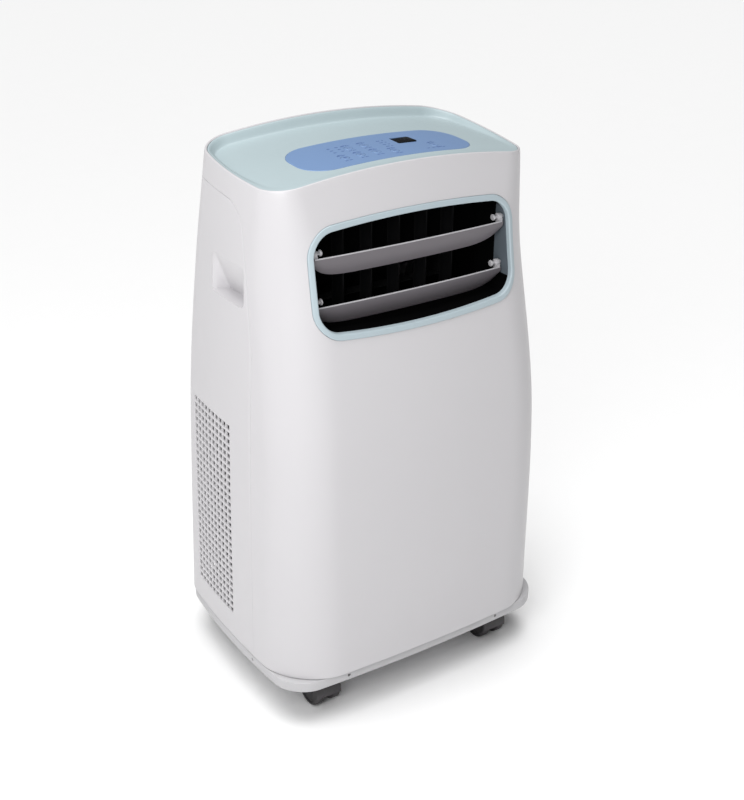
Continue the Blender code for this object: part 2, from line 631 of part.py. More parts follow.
def grille_region(name, margin):
    outline = rounded_rectangle(
        GRILLE_HALF + margin, (GRILLE_HIGH - GRILLE_LOW) / 2 + margin, GRILLE_CORNER,
        (0.0, (GRILLE_HIGH + GRILLE_LOW) / 2), 3)
    return prism(name, outline, BACK_ONLY_Y, OUTSIDE, "Y")


# ---- Base and casters --------------------------------------------------------------

def base_ring(z, inset):
    width, depth, y_mid, _, _, bow, back_bow = section_at(SEAM_Z)
    outline = []
    half_w, half_d = width / 2 - BASE_SIDE_INSET - inset, depth / 2 - BASE_END_INSET - inset
    for x, y in rounded_rectangle(half_w, half_d, BASE_CORNER - inset):
        across = math.copysign(SIDE_BOW, x) * (1 - (y / half_d) ** 2) * abs(x / half_w)
        along = math.copysign(back_bow if y > 0 else bow, y) * (1 - (x / half_w) ** 2) * abs(y / half_d)
        outline.append((x + across, y + along + y_mid - BASE_FORWARD, z))
    return outline


def make_base():
    """The tray under the cabinet, with a tapered lower edge and a boss for each caster's stem."""
    rings = [base_ring(BASE_LOW, BASE_TAPER), base_ring(BASE_LOW + BASE_TAPER_H, 0.0), base_ring(BASE_TOP, 0.0)]
    base = as_part(loft("base_tray", rings), "panel_grey")
    pan = [base_ring(BASE_FLOOR, WALL + 0.001), base_ring(BASE_TOP + 0.01, WALL)]
    cut(base, as_cutter(loft("base_pan", pan)))
    for number, (x, y) in enumerate(caster_places(), 1):
        join(base, upright(f"stem_boss_{number}", x, y, BOSS_LOW, BOSS_TOP, BOSS_R))
        cut(base, upright(f"stem_bore_{number}", x, y, BORE_LOW, BORE_TOP, STEM_R + GAP))


def upright(name, x, y, low, high, radius, sides=16):
    """A vertical cylinder, as a cutter, between two heights."""
    return as_cutter(cylinder(name, (x, y, (low + high) / 2), radius, high - low, "Z", sides))


def caster_places():
    """Front left, front right, rear left, rear right."""
    return [(side * CASTER_X, y) for y in (CASTER_FRONT, CASTER_REAR) for side in (-1, 1)]


def make_casters():
    for number, (x, y) in enumerate(caster_places(), 1):
        make_hood(number, x, y)
        make_wheels(number, x, y + CASTER_TRAIL)


def make_hood(number, x, y):
    """A swivelling hood over both wheels, with a centre web and a stem."""
    axle_y = y + CASTER_TRAIL
    centre = (x, axle_y, WHEEL_R)
    name = f"caster_hood_{number}"
    hood = as_part(cylinder(name, centre, HOOD_R, 2 * HOOD_HALF, "X", WHEEL_SIDES), "black_plastic", (x, y, WHEEL_R))
    below = box(f"hood_cut_{number}", (x - 0.05, axle_y - 0.05, -0.01),
                (x + 0.05, axle_y + 0.05, WHEEL_R - HOOD_LIFT))
    cut(hood, as_cutter(below))
    for side, sign in (("left", -1), ("right", 1)):
        near, far = sorted((x + sign * WEB_HALF, x + sign * (WEB_HALF + 0.06)))
        well = pin(f"hood_well_{number}_{side}", near, far, axle_y, WHEEL_R, HOOD_WELL_R, WHEEL_SIDES)
        cut(hood, as_cutter(well))
    web = box(f"hood_web_{number}", (x - WEB_HALF, axle_y - WEB_DEPTH, WHEEL_R - WEB_BELOW),
              (x + WEB_HALF, axle_y + WEB_DEPTH, WHEEL_R + WEB_ABOVE))
    join(hood, as_cutter(web), upright(f"stem_{number}", x, y, STEM_LOW, STEM_TOP, STEM_R))
    cut(hood, as_cutter(cylinder(f"axle_bore_{number}", centre, AXLE_R + GAP, 0.03, "X", 12)))


def make_wheels(number, x, y):
    """Two wheels on one axle."""
    name = f"caster_wheels_{number}"
    axle = pin(name, x - AXLE_HALF, x + AXLE_HALF, y, WHEEL_R, AXLE_R, 12)
    wheels = as_part(axle, "dark_rubber", (x, y, WHEEL_R))
    small = WHEEL_R - WHEEL_EDGE
    profile = ((WHEEL_INNER, small), (WHEEL_INNER + WHEEL_EDGE, WHEEL_R), (WHEEL_OUTER - WHEEL_EDGE, WHEEL_R),
               (WHEEL_OUTER, small))
    for side, sign in (("left", -1), ("right", 1)):
        rings = []
        for at, radius in profile:
            circle = ring_round(y, WHEEL_R, radius, WHEEL_SIDES)
            rings.append([(x + sign * at, around, z) for around, z in circle])
        join(wheels, as_cutter(loft(f"wheel_{number}_{side}", rings)))


# ---- Top cover and controls --------------------------------------------------------

def make_top():
    """The dished cover inside the cabinet's rim."""
    inset = WALL + GAP
    edge = cabinet_ring(RIM_Z, inset)
    lip = cabinet_ring(RIM_Z, inset + COVER_LIP_WIDTH)
    floor_edge = cabinet_ring(RIM_Z, DISH_EDGE)
    rings = [scaled(edge, factor, lambda x, y: dish_height(x, y) - WALL) for factor in (0.35, 0.7)]
    rings += [
        [(x, y, dish_height(x, y) - WALL) for x, y, _ in edge],
        [(x, y, rim_height(x, y) - DISH_LIP) for x, y, _ in edge],
        [(x, y, rim_height(x, y) - DISH_LIP) for x, y, _ in lip],
        [(x, y, dish_height(x, y)) for x, y, _ in floor_edge],
    ]
    rings += [scaled(floor_edge, factor, dish_height) for factor in (0.7, 0.35)]
    cover = as_part(loft("top_cover", rings), "cover_blue_grey")
    cut(cover, as_cutter(prism("control_opening", control_outline(GAP), 0.66, 0.80)))


def control_outline(margin):
    half_w, half_d = PANEL_W / 2 + margin, PANEL_D / 2 + margin
    return rounded_rectangle(half_w, half_d, PANEL_CORNER + margin, (PANEL_X, PANEL_Y))


def panel_top(x, y):
    return dish_height(x, y) + GAP


def panel_underside(x, y):
    return dish_height(x, y) - PANEL_T + GAP


def make_controls():
    """The overlay panel with its display window, the board below it and the keys."""
    outline = densify([(x, y, 0) for x, y in control_outline(0.0)], 0.05)
    rings = [scaled(outline, factor, panel_underside, PANEL_Y) for factor in (0.5, 1.0)]
    rings += [scaled(outline, factor, panel_top, PANEL_Y) for factor in (1.0, 0.5)]
    panel = as_part(loft("control_panel", rings), "overlay_blue")
    x0, x1, y0, y1 = DISPLAY
    cut(panel, as_cutter(box("display_opening", (x0, y0, 0.69), (x1, y1, 0.75))))
    top = panel_top((x0 + x1) / 2, (y0 + y1) / 2)
    low, high = (x0 + DISPLAY_GAP, y0 + DISPLAY_GAP, top - DISPLAY_T), (x1 - DISPLAY_GAP, y1 - DISPLAY_GAP, top)
    as_part(box("display_window", low, high), "black_plastic")
    board = box("control_board", (-BOARD_HALF_W, BOARD_FRONT, BOARD_Z), (BOARD_HALF_W, BOARD_REAR, BOARD_Z + BOARD_T))
    as_part(board, "board_green")
    for name, (x, y) in KEYS.items():
        cut(panel, as_cutter(cylinder(f"{name}_hole", (x, y, 0.715), KEY_HOLE_R, 0.03, "Z", 12)))
        make_key(name, x, y)


def make_key(name, x, y):
    """A round cap with a flange that stays below the panel."""
    top = dish_height(x, y) + KEY_PROUD
    under = dish_height(x, y) - PANEL_T - KEY_FREE
    base = under - KEY_FLANGE_T
    profile = [(0, top), (KEY_R, top), (KEY_R, under), (KEY_FLANGE_R, under), (KEY_FLANGE_R, base), (0, base)]
    cap = turned(name, [(radius, height - base) for radius, height in profile], (x, y, base), "Z", 12)
    as_part(cap, "overlay_blue", (x, y, base))


def densify(ring, longest):
    """The ring with its long edges split."""
    points = []
    for start, end in zip(ring, ring[1:] + ring[:1]):
        length = (Vector(end) - Vector(start)).length
        pieces = max(1, math.ceil(length / longest))
        points += [tuple(a + (b - a) * i / pieces for a, b in zip(start, end)) for i in range(pieces)]
    return points


# ---- Air outlet --------------------------------------------------------------------

def make_outlet_frame():
    """The ring round the outlet, with two cheeks that carry the louvers."""
    frame = as_part(cabinet_solid("outlet_frame", -RING_PROUD), "ring_blue_grey")
    cut(frame, as_cutter(cabinet_core("ring_back", RING_DEPTH)))
    keep(frame, as_cutter(prism("ring_block", ring_outline(0.0), -OUTSIDE, FRONT_ONLY_Y, "Y")))
    for side, sign in (("left", -1), ("right", 1)):
        low, high = sorted((sign * CHEEK_X, sign * (CHEEK_X + CHEEK_T)))
        front = [(front_y(CHEEK_X, z) + RING_DEPTH * 0.8, z) for z in (CHEEK_HIGH, CHEEK_LOW)]
        outline = [(CHEEK_BACK, CHEEK_LOW), (CHEEK_BACK, CHEEK_HIGH), *front]
        join(frame, as_cutter(prism(f"cheek_{side}", outline, low, high, "X")))
    cut(frame, as_cutter(prism("ring_hole", ring_outline(RING_BAND), -OUTSIDE, FRONT_ONLY_Y, "Y")))
    for name, z in LOUVER_PIVOTS.items():
        cut(frame, as_cutter(pin(f"{name}_cheek_holes", -0.144, 0.144, LOUVER_PIVOT_Y, z, PIVOT_R + GAP, 10)))


def make_duct():
    """The black box behind the ring, open in front, with a mouth for the blower at the back."""
    half_h, middle = (DUCT_HIGH - DUCT_LOW) / 2, (DUCT_HIGH + DUCT_LOW) / 2
    outer = rounded_rectangle(DUCT_HALF_W, half_h, DUCT_CORNER, (0, middle), 3, DUCT_BOW)
    inner = rounded_rectangle(DUCT_HALF_W - DUCT_T, half_h - DUCT_T, DUCT_INNER_CORNER, (0, middle), 3, DUCT_BOW)
    duct = as_part(prism("outlet_duct", outer, -0.16, DUCT_BACK, "Y"), "black_plastic")
    keep(duct, as_cutter(cabinet_core("duct_front", RING_DEPTH + 0.0006)))
    cut(duct, as_cutter(prism("duct_inside", inner, -0.2, DUCT_BACK - DUCT_T, "Y")))
    mouth = box("duct_mouth", (-MOUTH_HALF_W, DUCT_BACK - 0.02, MOUTH_LOW),
                (MOUTH_HALF_W, DUCT_BACK + 0.02, MOUTH_HIGH))
    cut(duct, as_cutter(mouth))
    for name, z in LOUVER_PIVOTS.items():
        cut(duct, as_cutter(pin(f"{name}_duct_holes", -0.15, 0.15, LOUVER_PIVOT_Y, z, PIVOT_R + GAP)))
    for number, x in enumerate(VANE_X, 1):
        cut(duct, upright(f"vane_bore_{number}", x, VANE_PIVOT_Y, middle - 0.1, middle + 0.1, PIN_HOLE_R, 8))


def louver_section(x, pivot_z):
    """Cross-section of the blade at x: widest in the middle, tapering to its ends."""
    forward = Vector((0, -math.sin(LOUVER_TILT), math.cos(LOUVER_TILT)))
    normal = Vector((0, -math.cos(LOUVER_TILT), -math.sin(LOUVER_TILT)))
    share = abs(x) / LOUVER_HALF
    bow = LOUVER_BOW * (1 - share ** 2)
    top = Vector((x, LOUVER_PIVOT_Y - EDGE_BEFORE_PIVOT - bow, pivot_z - EDGE_BELOW_PIVOT))
    width = LOUVER_WIDTH * (1 - LOUVER_TAPER * share ** 5)
    low = top - forward * width
    half = normal * LOUVER_T / 2
    edge = forward * LOUVER_T * 0.4
    return [top, top - edge + half, low + edge + half, low, low + edge - half, top - edge - half]


def make_louver(name, pivot_z):
    """A curved blade with an ear and a pivot at each end, and a crank arm on the left."""
    stations = [math.sin(math.radians(18 * i)) * LOUVER_HALF for i in range(-5, 6)]
    blade = loft(name, [louver_section(x, pivot_z) for x in stations])
    louver = as_part(blade, "louver_grey", (0, LOUVER_PIVOT_Y, pivot_z))
    top_y, top_z = LOUVER_PIVOT_Y - EDGE_BEFORE_PIVOT, pivot_z - EDGE_BELOW_PIVOT
    ear = [
        (top_y + 0.0002, top_z - 0.0005), (top_y + 0.0042, top_z - 0.0085),
        (LOUVER_PIVOT_Y + 0.0035, pivot_z - 0.0030), (LOUVER_PIVOT_Y + 0.0030, pivot_z + 0.0035),
        (LOUVER_PIVOT_Y - 0.0035, pivot_z + 0.0035),
    ]
    for side, sign in (("left", -1), ("right", 1)):
        low, high = sorted((sign * EAR_INNER, sign * EAR_OUTER))
        join(louver, as_cutter(prism(f"{name}_ear_{side}", ear, low, high, "X")))
        reach = MOTOR_END if side == "left" and name == "louver_lower" else PIVOT_END
        low, high = sorted((sign * PIVOT_INNER, sign * reach))
        join(louver, as_cutter(pin(f"{name}_pivot_{side}", low, high, LOUVER_PIVOT_Y, pivot_z, PIVOT_R)))
    crank_y, crank_z = LOUVER_PIVOT_Y + CRANK_BACK, pivot_z - CRANK_DOWN
    arm = [(LOUVER_PIVOT_Y - 0.002, pivot_z - 0.0045), (LOUVER_PIVOT_Y - 0.002, pivot_z + 0.0030),
           (crank_y + 0.0030, crank_z + 0.0030), (crank_y + 0.0030, crank_z - 0.0030)]
    join(louver, as_cutter(prism(f"{name}_arm", arm, ARM_OUTER, ARM_INNER, "X")),
         as_cutter(pin(f"{name}_crank", CRANK_END, ARM_INNER - 0.0004, crank_y, crank_z, PIN_R)))


def make_louver_link():
    """The bar that couples the two louvers' crank pins."""
    crank_y = LOUVER_PIVOT_Y + CRANK_BACK
    heights = [z - CRANK_DOWN for z in LOUVER_PIVOTS.values()]
    low, high = min(heights), max(heights)
    half_h, centre = (high - low) / 2 + LINK_HALF, (crank_y, (low + high) / 2)
    outline = rounded_rectangle(LINK_HALF, half_h, LINK_CORNER, centre, 3)
    link = as_part(prism("louver_link", outline, LINK_OUTER, LINK_INNER, "X"), "black_plastic", (0, crank_y, high))
    for number, z in enumerate(heights, 1):
        cut(link, as_cutter(pin(f"link_hole_{number}", -0.14, -0.13, crank_y, z, PIN_HOLE_R)))


def make_swing_motor():
    """The small motor on the lower louver's left pivot."""
    z = LOUVER_PIVOTS["louver_lower"]
    body = pin("swing_motor", MOTOR_FROM, MOTOR_TO, LOUVER_PIVOT_Y + 0.0075, z - 0.003, MOTOR_R, 16)
    motor = as_part(body, "galvanised")
    cut(motor, as_cutter(pin("motor_socket", SOCKET_FROM, -0.14, LOUVER_PIVOT_Y, z, PIVOT_R + GAP)))


def make_vanes():
    """Upright vanes behind the louvers, each on a pin, and the bar that couples their cranks."""
    middle = (VANE_LOW + VANE_HIGH) / 2
    crank_y = VANE_PIVOT_Y - VANE_CRANK
    half_pin, half_crank = VANE_PIN_LENGTH / 2, VANE_CRANK_LENGTH / 2
    for number, x in enumerate(VANE_X, 1):
        low, high = (x - VANE_T / 2, VANE_FRONT, VANE_LOW), (x + VANE_T / 2, VANE_BACK, VANE_HIGH)
        blade = as_part(box(f"vane_{number}", low, high), "black_plastic", (x, VANE_PIVOT_Y, middle))
        join(blade, upright(f"vane_pin_{number}", x, VANE_PIVOT_Y, middle - half_pin, middle + half_pin, PIN_R, 8),
             upright(f"vane_crank_{number}", x, crank_y, VANE_LOW - half_crank, VANE_LOW + half_crank, PIN_R, 8))
    end = VANE_X[-1] + VANE_BAR_OVER
    low, high = (-end, crank_y - VANE_BAR_HALF, VANE_BAR_LOW), (end, crank_y + VANE_BAR_HALF, VANE_BAR_TOP)
    bar = as_part(box("vane_link", low, high), "black_plastic", (VANE_X[0], crank_y, VANE_BAR_LOW))
    low, high = VANE_BAR_LOW - 0.004, VANE_BAR_TOP + 0.004
    for number, x in enumerate(VANE_X, 1):
        cut(bar, upright(f"crank_hole_{number}", x, crank_y, low, high, PIN_HOLE_R, 8))


# ---- Rear pieces -------------------------------------------------------------------

def boxes(name, centres, size):
    """Equal boxes in one mesh."""
    mesh_data = bmesh.new()
    for centre in centres:
        bmesh.ops.create_cube(mesh_data, size=1.0, matrix=Matrix.Translation(centre) @ Matrix.Diagonal((*size, 1.0)))
    return object_from(name, mesh_data)


def make_rear_grille():
    """The intake grille, which comes off with the air filter behind it."""
    grille = as_part(cabinet_solid("rear_grille"), "panel_grey")
    cut(grille, bpy.data.objects["hollow"])
    keep(grille, as_cutter(grille_region("grille_block", 0.0)))
    pitch = (GRILLE_HIGH - GRILLE_LOW - 2 * GRILLE_EDGE) / GRILLE_SLOTS
    rows = [GRILLE_LOW + GRILLE_EDGE + (row + 0.5) * pitch for row in range(GRILLE_SLOTS)]
    centres = [(sign * GRILLE_SLOT_X, 0.12, z) for z in rows for sign in (-1, 1)]
    cut(grille, as_cutter(boxes("grille_slots", centres, (GRILLE_SLOT_W, 0.10, pitch * SLOT_SHARE))))

    slab = leaning_slab("air_filter", FILTER_HALF, FILTER_LOW, FILTER_HIGH, FILTER_BEHIND, FILTER_T)
    air_filter = as_part(slab, "filter_grey")
    columns = [(column - (FILTER_COLUMNS - 1) / 2) * FILTER_PITCH_X for column in range(FILTER_COLUMNS)]
    rows = [FILTER_LOW + (row + 0.5) * FILTER_PITCH_Z for row in range(FILTER_ROWS)]
    size = (FILTER_PITCH_X - FILTER_RIB, 0.14, FILTER_PITCH_Z - FILTER_RIB)
    cut(air_filter, as_cutter(boxes("filter_windows", [(x, 0.11, z) for x in columns for z in rows], size)))


def leaning_slab(name, half_w, low, high, behind, thickness):
    """A flat slab parallel to the upper back, a distance inside its corners."""
    outer = [back_y(half_w, z) - behind for z in (low, high)]
    outline = [(outer[0], low), (outer[1], high), (outer[1] - thickness, high), (outer[0] - thickness, low)]
    return loft(name, [[(x, y, z) for y, z in outline] for x in (-half_w, half_w)])


def make_exhaust_collar():
    """A short round spigot with a flange, which the exhaust hose fits on."""
    profile = (
        (COLLAR_FLANGE, COLLAR_REAR), (COLLAR_FLANGE, COLLAR_REAR - COLLAR_LIP),
        (COLLAR_R, COLLAR_REAR - COLLAR_NECK), (COLLAR_R, COLLAR_FRONT),
        (COLLAR_BORE, COLLAR_FRONT), (COLLAR_BORE, COLLAR_REAR),
    )
    rings = []
    for radius, y in profile:
        rings.append([(x, y, z) for x, z in ring_round(0.0, COLLAR_Z, radius, COLLAR_SIDES)])
    as_part(loft("exhaust_collar", rings, closed=True), "panel_grey")


def make_plugs_and_gland():
    """Two rubber drain plugs and the gland that the mains cord comes through."""
    stem, tip = DRAIN_R - GAP, DRAIN_R - 0.0010
    profile = ((0, HEAD_HIGH), (DRAIN_HEAD_R, HEAD_HIGH), (DRAIN_HEAD_R, HEAD_LOW), (stem, HEAD_LOW),
               (tip, -DRAIN_DEPTH), (0, -DRAIN_DEPTH))
    for name, (x, z) in DRAINS.items():
        face = back_y(x, z)
        as_part(turned(name, profile, (x, face, z), "Y", 16), "dark_rubber", (x, face, z))
    x, z = GLAND_AT
    face = back_y(x, z)
    profile = ((GLAND_BORE, HEAD_HIGH), (GLAND_HEAD_R, HEAD_HIGH), (GLAND_HEAD_R, HEAD_LOW), (GLAND_R, HEAD_LOW),
               (GLAND_R, -GLAND_DEPTH), (GLAND_BORE, -GLAND_DEPTH))
    rings = []
    for radius, rise in profile:
        rings.append([(u, face + rise, v) for u, v in ring_round(x, z, radius, GLAND_SIDES)])
    as_part(loft("cord_gland", rings, closed=True), "black_plastic")


# ---- Works inside ------------------------------------------------------------------

def make_scroll(prefix, centre, radius, half_length, mouth_low, mouth_high, bore):
    """A round blower housing on an X axis, with an inlet in each end and a mouth through its wall."""
    cx, cy, cz = centre
    left, right = cx - half_length, cx + half_length
    scroll = as_part(pin(f"{prefix}_scroll", left, right, cy, cz, radius, BLOWER_SIDES), "foam_white")
    join(scroll, as_cutter(box(f"{prefix}_mouth", (left, *mouth_low), (right, *mouth_high))))
    inner_left, inner_right = left + BLOWER_WALL, right - BLOWER_WALL
    chamber = pin(f"{prefix}_chamber", inner_left, inner_right, cy, cz, radius - BLOWER_WALL, BLOWER_SIDES)
    ahead = 0.02 if mouth_low[0] < cy - radius else 0.0
    behind = 0.02 if mouth_high[0] > cy + radius else 0.0
    throat = box(f"{prefix}_throat", (inner_left, mouth_low[0] - ahead, mouth_low[1] + BLOWER_WALL),
                 (inner_right, mouth_high[0] + behind, mouth_high[1] - BLOWER_WALL))
    inlet = pin(f"{prefix}_inlet", left - 0.01, right + 0.01, cy, cz, bore, 24)
    cut(scroll, as_cutter(chamber), as_cutter(throat), as_cutter(inlet))


def make_wheel(prefix, centre, wheel_r, half_length):
    """A squirrel-cage wheel: a disc on a shaft, a rim at each end and blades between the rims."""
    cx, cy, cz = centre
    wheel_half = half_length - WHEEL_END_GAP
    disc = pin(f"{prefix}_wheel", cx - WHEEL_DISC_T / 2, cx + WHEEL_DISC_T / 2, cy, cz, wheel_r, 16)
    wheel = as_part(disc, "black_plastic", centre)
    shaft = pin(f"{prefix}_shaft", cx - half_length * 0.5, cx + half_length + SHAFT_PAST, cy, cz, SHAFT_R, 10)
    join(wheel, as_cutter(shaft))
    inner_r = wheel_r - WHEEL_RIM
    for end, sign in (("left", -1), ("right", 1)):
        rim = []
        for depth, radius in ((0.0, wheel_r), (WHEEL_RIM_T, wheel_r), (WHEEL_RIM_T, inner_r), (0.0, inner_r)):
            at = cx + sign * (wheel_half - depth)
            rim.append([(at, y, z) for y, z in ring_round(cy, cz, radius, 16)])
        join(wheel, as_cutter(loft(f"{prefix}_rim_{end}", rim, closed=True)))
    mesh_data = bmesh.new()
    size = Matrix.Diagonal((2 * wheel_half - 0.001, BLADE_T, BLADE_CHORD, 1.0))
    outward = Matrix.Translation((0, 0, wheel_r - BLADE_IN)) @ Matrix.Rotation(BLADE_LEAN, 4, "X")
    for blade in range(BLOWER_BLADES):
        turn = Matrix.Rotation(2 * math.pi / BLOWER_BLADES * (blade + 0.5), 4, "X")
        bmesh.ops.create_cube(mesh_data, size=1.0, matrix=Matrix.Translation(centre) @ turn @ outward @ size)
    join(wheel, as_cutter(object_from(f"{prefix}_blades", mesh_data)))


def make_blower(prefix, centre, radius, half_length, mouth_low, mouth_high, bore):
    """Housing, wheel and motor on one X axis."""
    make_scroll(prefix, centre, radius, half_length, mouth_low, mouth_high, bore)
    make_wheel(prefix, centre, radius * WHEEL_SHARE, half_length)
    cx, cy, cz = centre
    motor_from = cx + half_length + BLOWER_MOTOR_GAP
    motor_to = motor_from + BLOWER_MOTOR_LENGTH
    motor = as_part(pin(f"{prefix}_motor", motor_from, motor_to, cy, cz, bore * BLOWER_MOTOR_SHARE, 20), "galvanised")
    shaft_bore = pin(f"{prefix}_motor_bore", motor_from - 0.01, motor_from + SHAFT_BORE, cy, cz, SHAFT_BORE_R, 12)
    cut(motor, as_cutter(shaft_bore))


def make_works():
    """What the cabinet holds: blowers, deck, heat exchangers, compressor, box and pipes."""
    for prefix, layout in BLOWERS.items():
        make_blower(prefix, *layout)
    outline = outline_at(DECK_OUTLINE_Z, DECK_INSET)
    rings = [[(x, y, z) for x, y in outline] for z in (DECK_LOW, DECK_TOP)]
    deck = as_part(loft("middle_deck", rings), "foam_white")
    cut(deck, as_cutter(box("deck_pipe_slot", *DECK_SLOT)))

    as_part(box("condenser_coil", *CONDENSER_COIL), "aluminium_fin")
    coil = leaning_slab("evaporator_coil", COIL_HALF, COIL_LOW, COIL_HIGH, COIL_BEHIND, COIL_T)
    as_part(coil, "aluminium_fin")
    as_part(turned("compressor", COMPRESSOR_PROFILE, COMPRESSOR_AT, "Z", 20), "compressor_black")
    as_part(turned("accumulator", ACCUMULATOR_PROFILE, ACCUMULATOR_AT, "Z", 16), "compressor_black")
    as_part(box("electrical_box", *ELECTRICAL_BOX), "galvanised")
    as_part(tube("discharge_pipe", round_corners(DISCHARGE_ROUTE, DISCHARGE_BEND, 3), DISCHARGE_R), "copper")
    as_part(tube("suction_pipe", round_corners(SUCTION_ROUTE, SUCTION_BEND, 3), SUCTION_R), "copper")


make_shells(make_shell_cutters())
make_base()
make_casters()
make_top()
make_controls()
make_outlet_frame()
make_duct()
for louver_name, louver_z in LOUVER_PIVOTS.items():
    make_louver(louver_name, louver_z)
make_louver_link()
make_swing_motor()
make_vanes()
make_rear_grille()
make_exhaust_collar()
make_plugs_and_gland()
make_works()
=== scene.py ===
"""Looks of the portable air conditioner: fine shells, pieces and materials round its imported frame.

Metres, +Z up, +X to the right as seen from the front, and the front faces -Y.
"""

import math

import bmesh
import bpy
from mathutils import Matrix, Vector


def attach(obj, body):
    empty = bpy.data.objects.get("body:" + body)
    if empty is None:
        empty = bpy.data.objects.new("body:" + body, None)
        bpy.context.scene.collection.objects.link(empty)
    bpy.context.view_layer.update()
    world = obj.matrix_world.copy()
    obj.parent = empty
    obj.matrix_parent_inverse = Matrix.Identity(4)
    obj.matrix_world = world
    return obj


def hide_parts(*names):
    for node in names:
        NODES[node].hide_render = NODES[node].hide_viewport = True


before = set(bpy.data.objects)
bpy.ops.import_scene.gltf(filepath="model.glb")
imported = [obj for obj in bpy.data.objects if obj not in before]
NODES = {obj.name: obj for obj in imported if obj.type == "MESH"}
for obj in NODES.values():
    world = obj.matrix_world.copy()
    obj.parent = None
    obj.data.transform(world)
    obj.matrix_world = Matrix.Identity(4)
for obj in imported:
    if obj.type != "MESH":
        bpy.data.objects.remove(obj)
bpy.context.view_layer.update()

# ---- Driving dimensions ---------------------------------------------------------------
# The frame's own, except for the finer slots, the narrower parting gap, the tray's corner
# and the grip's depth.

# Cabinet sections: height, width, depth, y of the centre, front and back corner radius,
# and how far the front and back faces bow outward in their middle.
SECTIONS = (
    (0.0714, 0.4085, 0.3277, 0.0000, 0.0724, 0.0561, 0.0075, 0.0082),
    (0.3672, 0.3914, 0.3120, -0.0040, 0.0612, 0.0561, 0.0075, 0.0082),
    (0.5712, 0.3711, 0.2594, -0.0006, 0.0612, 0.0561, 0.0075, 0.0082),
    (0.7140, 0.3588, 0.1917, -0.0121, 0.0330, 0.0360, 0.0002, 0.0002),
)
SIDE_BOW = 0.0105
SEAM_Z, RIM_Z = SECTIONS[0][0], SECTIONS[-1][0]
LEAN_Z = SECTIONS[2][0]
RIM_DOME, RIM_RISE = 0.0156, 0.1087
RIM_HALF_WIDTH, RIM_Y = SECTIONS[-1][1] / 2, SECTIONS[-1][3]
WALL, GAP, PART_GAP = 0.003, 0.0004, 0.00045

PART_Y_LOW, PART_Y_HIGH, PART_BEND_Z = -0.070, -0.050, 0.50
PART_CORNER, PART_TOP_Z, PART_STEPS = 0.040, 0.682, 24
PART_CORNER_Y = PART_Y_HIGH + PART_CORNER
PART_SLOPE = RIM_RISE * 0.75
REAR_PANEL_HALF = 0.148

BASE_LOW, BASE_TOP, BASE_FLOOR, BASE_EDGE_R = 0.055, 0.070, 0.060, 0.0022
BASE_SIDE_INSET, BASE_END_INSET, BASE_FORWARD, BASE_CORNER = 0.0005, 0.0095, 0.0045, 0.040
CASTER_X, CASTER_FRONT, CASTER_REAR, CASTER_TRAIL = 0.139, -0.1250, 0.113, 0.010
WHEEL_R, WHEEL_INNER, WHEEL_OUTER = 0.0255, 0.0065, 0.0186
HOOD_R, HOOD_WELL_R, HOOD_HALF, WEB_HALF = 0.0272, 0.0263, 0.0190, 0.0059
AXLE_R, STEM_R = 0.0030, 0.0055

RING_HALF_W, RING_LOW, RING_HIGH = 0.1472, 0.5332, 0.6593
RING_CORNER, RING_BOW, RING_BAND = 0.033, 0.0082, 0.0073
RING_PROUD, RING_DEPTH = 0.0016, 0.006
CHEEK_X, CHEEK_T, CHEEK_BACK = 0.1390, 0.0022, -0.098
CHEEK_LOW, CHEEK_HIGH = 0.5560, 0.6420
LOUVER_HALF, LOUVER_WIDTH, LOUVER_T = 0.1365, 0.0295, 0.0022
LOUVER_TILT = math.radians(23.0)
LOUVER_BOW, LOUVER_TAPER, TAPER_POWER = 0.0045, 0.68, 9
LOUVER_PIVOT_Y = -0.1105
LOUVER_PIVOTS = {"louver_upper": 0.6297, "louver_lower": 0.5697}
EDGE_BELOW_PIVOT, EDGE_BEFORE_PIVOT = 0.0052, 0.0055
EAR_INNER, EAR_OUTER, PIVOT_INNER = 0.1305, 0.1365, 0.1240
ARM_INNER, ARM_OUTER = -0.1295, -0.1317
CRANK_BACK, CRANK_DOWN = 0.0140, 0.0060
PIVOT_R, PIN_R = 0.0024, 0.0016
VANE_X = (-0.080, -0.040, 0.0, 0.040, 0.080)
VANE_PIVOT_Y, VANE_FRONT, VANE_BACK, VANE_T = -0.064, -0.088, -0.050, 0.0018
VANE_LOW, VANE_HIGH, VANE_PIN_HALF = 0.5440, 0.6510, 0.0690
VANE_CRANK = 0.014

DISH_Z, DISH_DOME, DISH_RISE, DISH_LIP, DISH_EDGE = 0.708, 0.0140, 0.050, 0.0012, 0.012
PANEL_X, PANEL_Y, PANEL_W, PANEL_D, PANEL_CORNER = 0.002, -0.0405, 0.241, 0.088, 0.036
PANEL_T = 0.0036
DISPLAY = (0.029, 0.056, -0.042, -0.019)
KEYS = {
    "key_mode": (-0.058, -0.058),
    "key_fan": (-0.036, -0.058),
    "key_timer": (-0.014, -0.058),
    "key_swing": (0.008, -0.064),
    "key_up": (-0.036, -0.030),
    "key_down": (-0.014, -0.030),
    "key_power": (0.068, -0.060),
}
KEY_R, KEY_FLANGE_R = 0.0055, 0.0068

SLOT_LOW, SLOT_HIGH, SLOT_ROWS = 0.107, 0.391, 28
SLOT_FRONT, SLOT_BACK, SLOT_COLUMNS = -0.018, 0.091, 10
SLOT_LONG, SLOT_TALL, FIELD_TOP = 0.0084, 0.0070, 0.400
GRIP_Y, GRIP_HALF, GRIP_LOW, GRIP_HIGH = -0.011, 0.040, 0.555, 0.606
GRIP_DEPTH = 0.0195

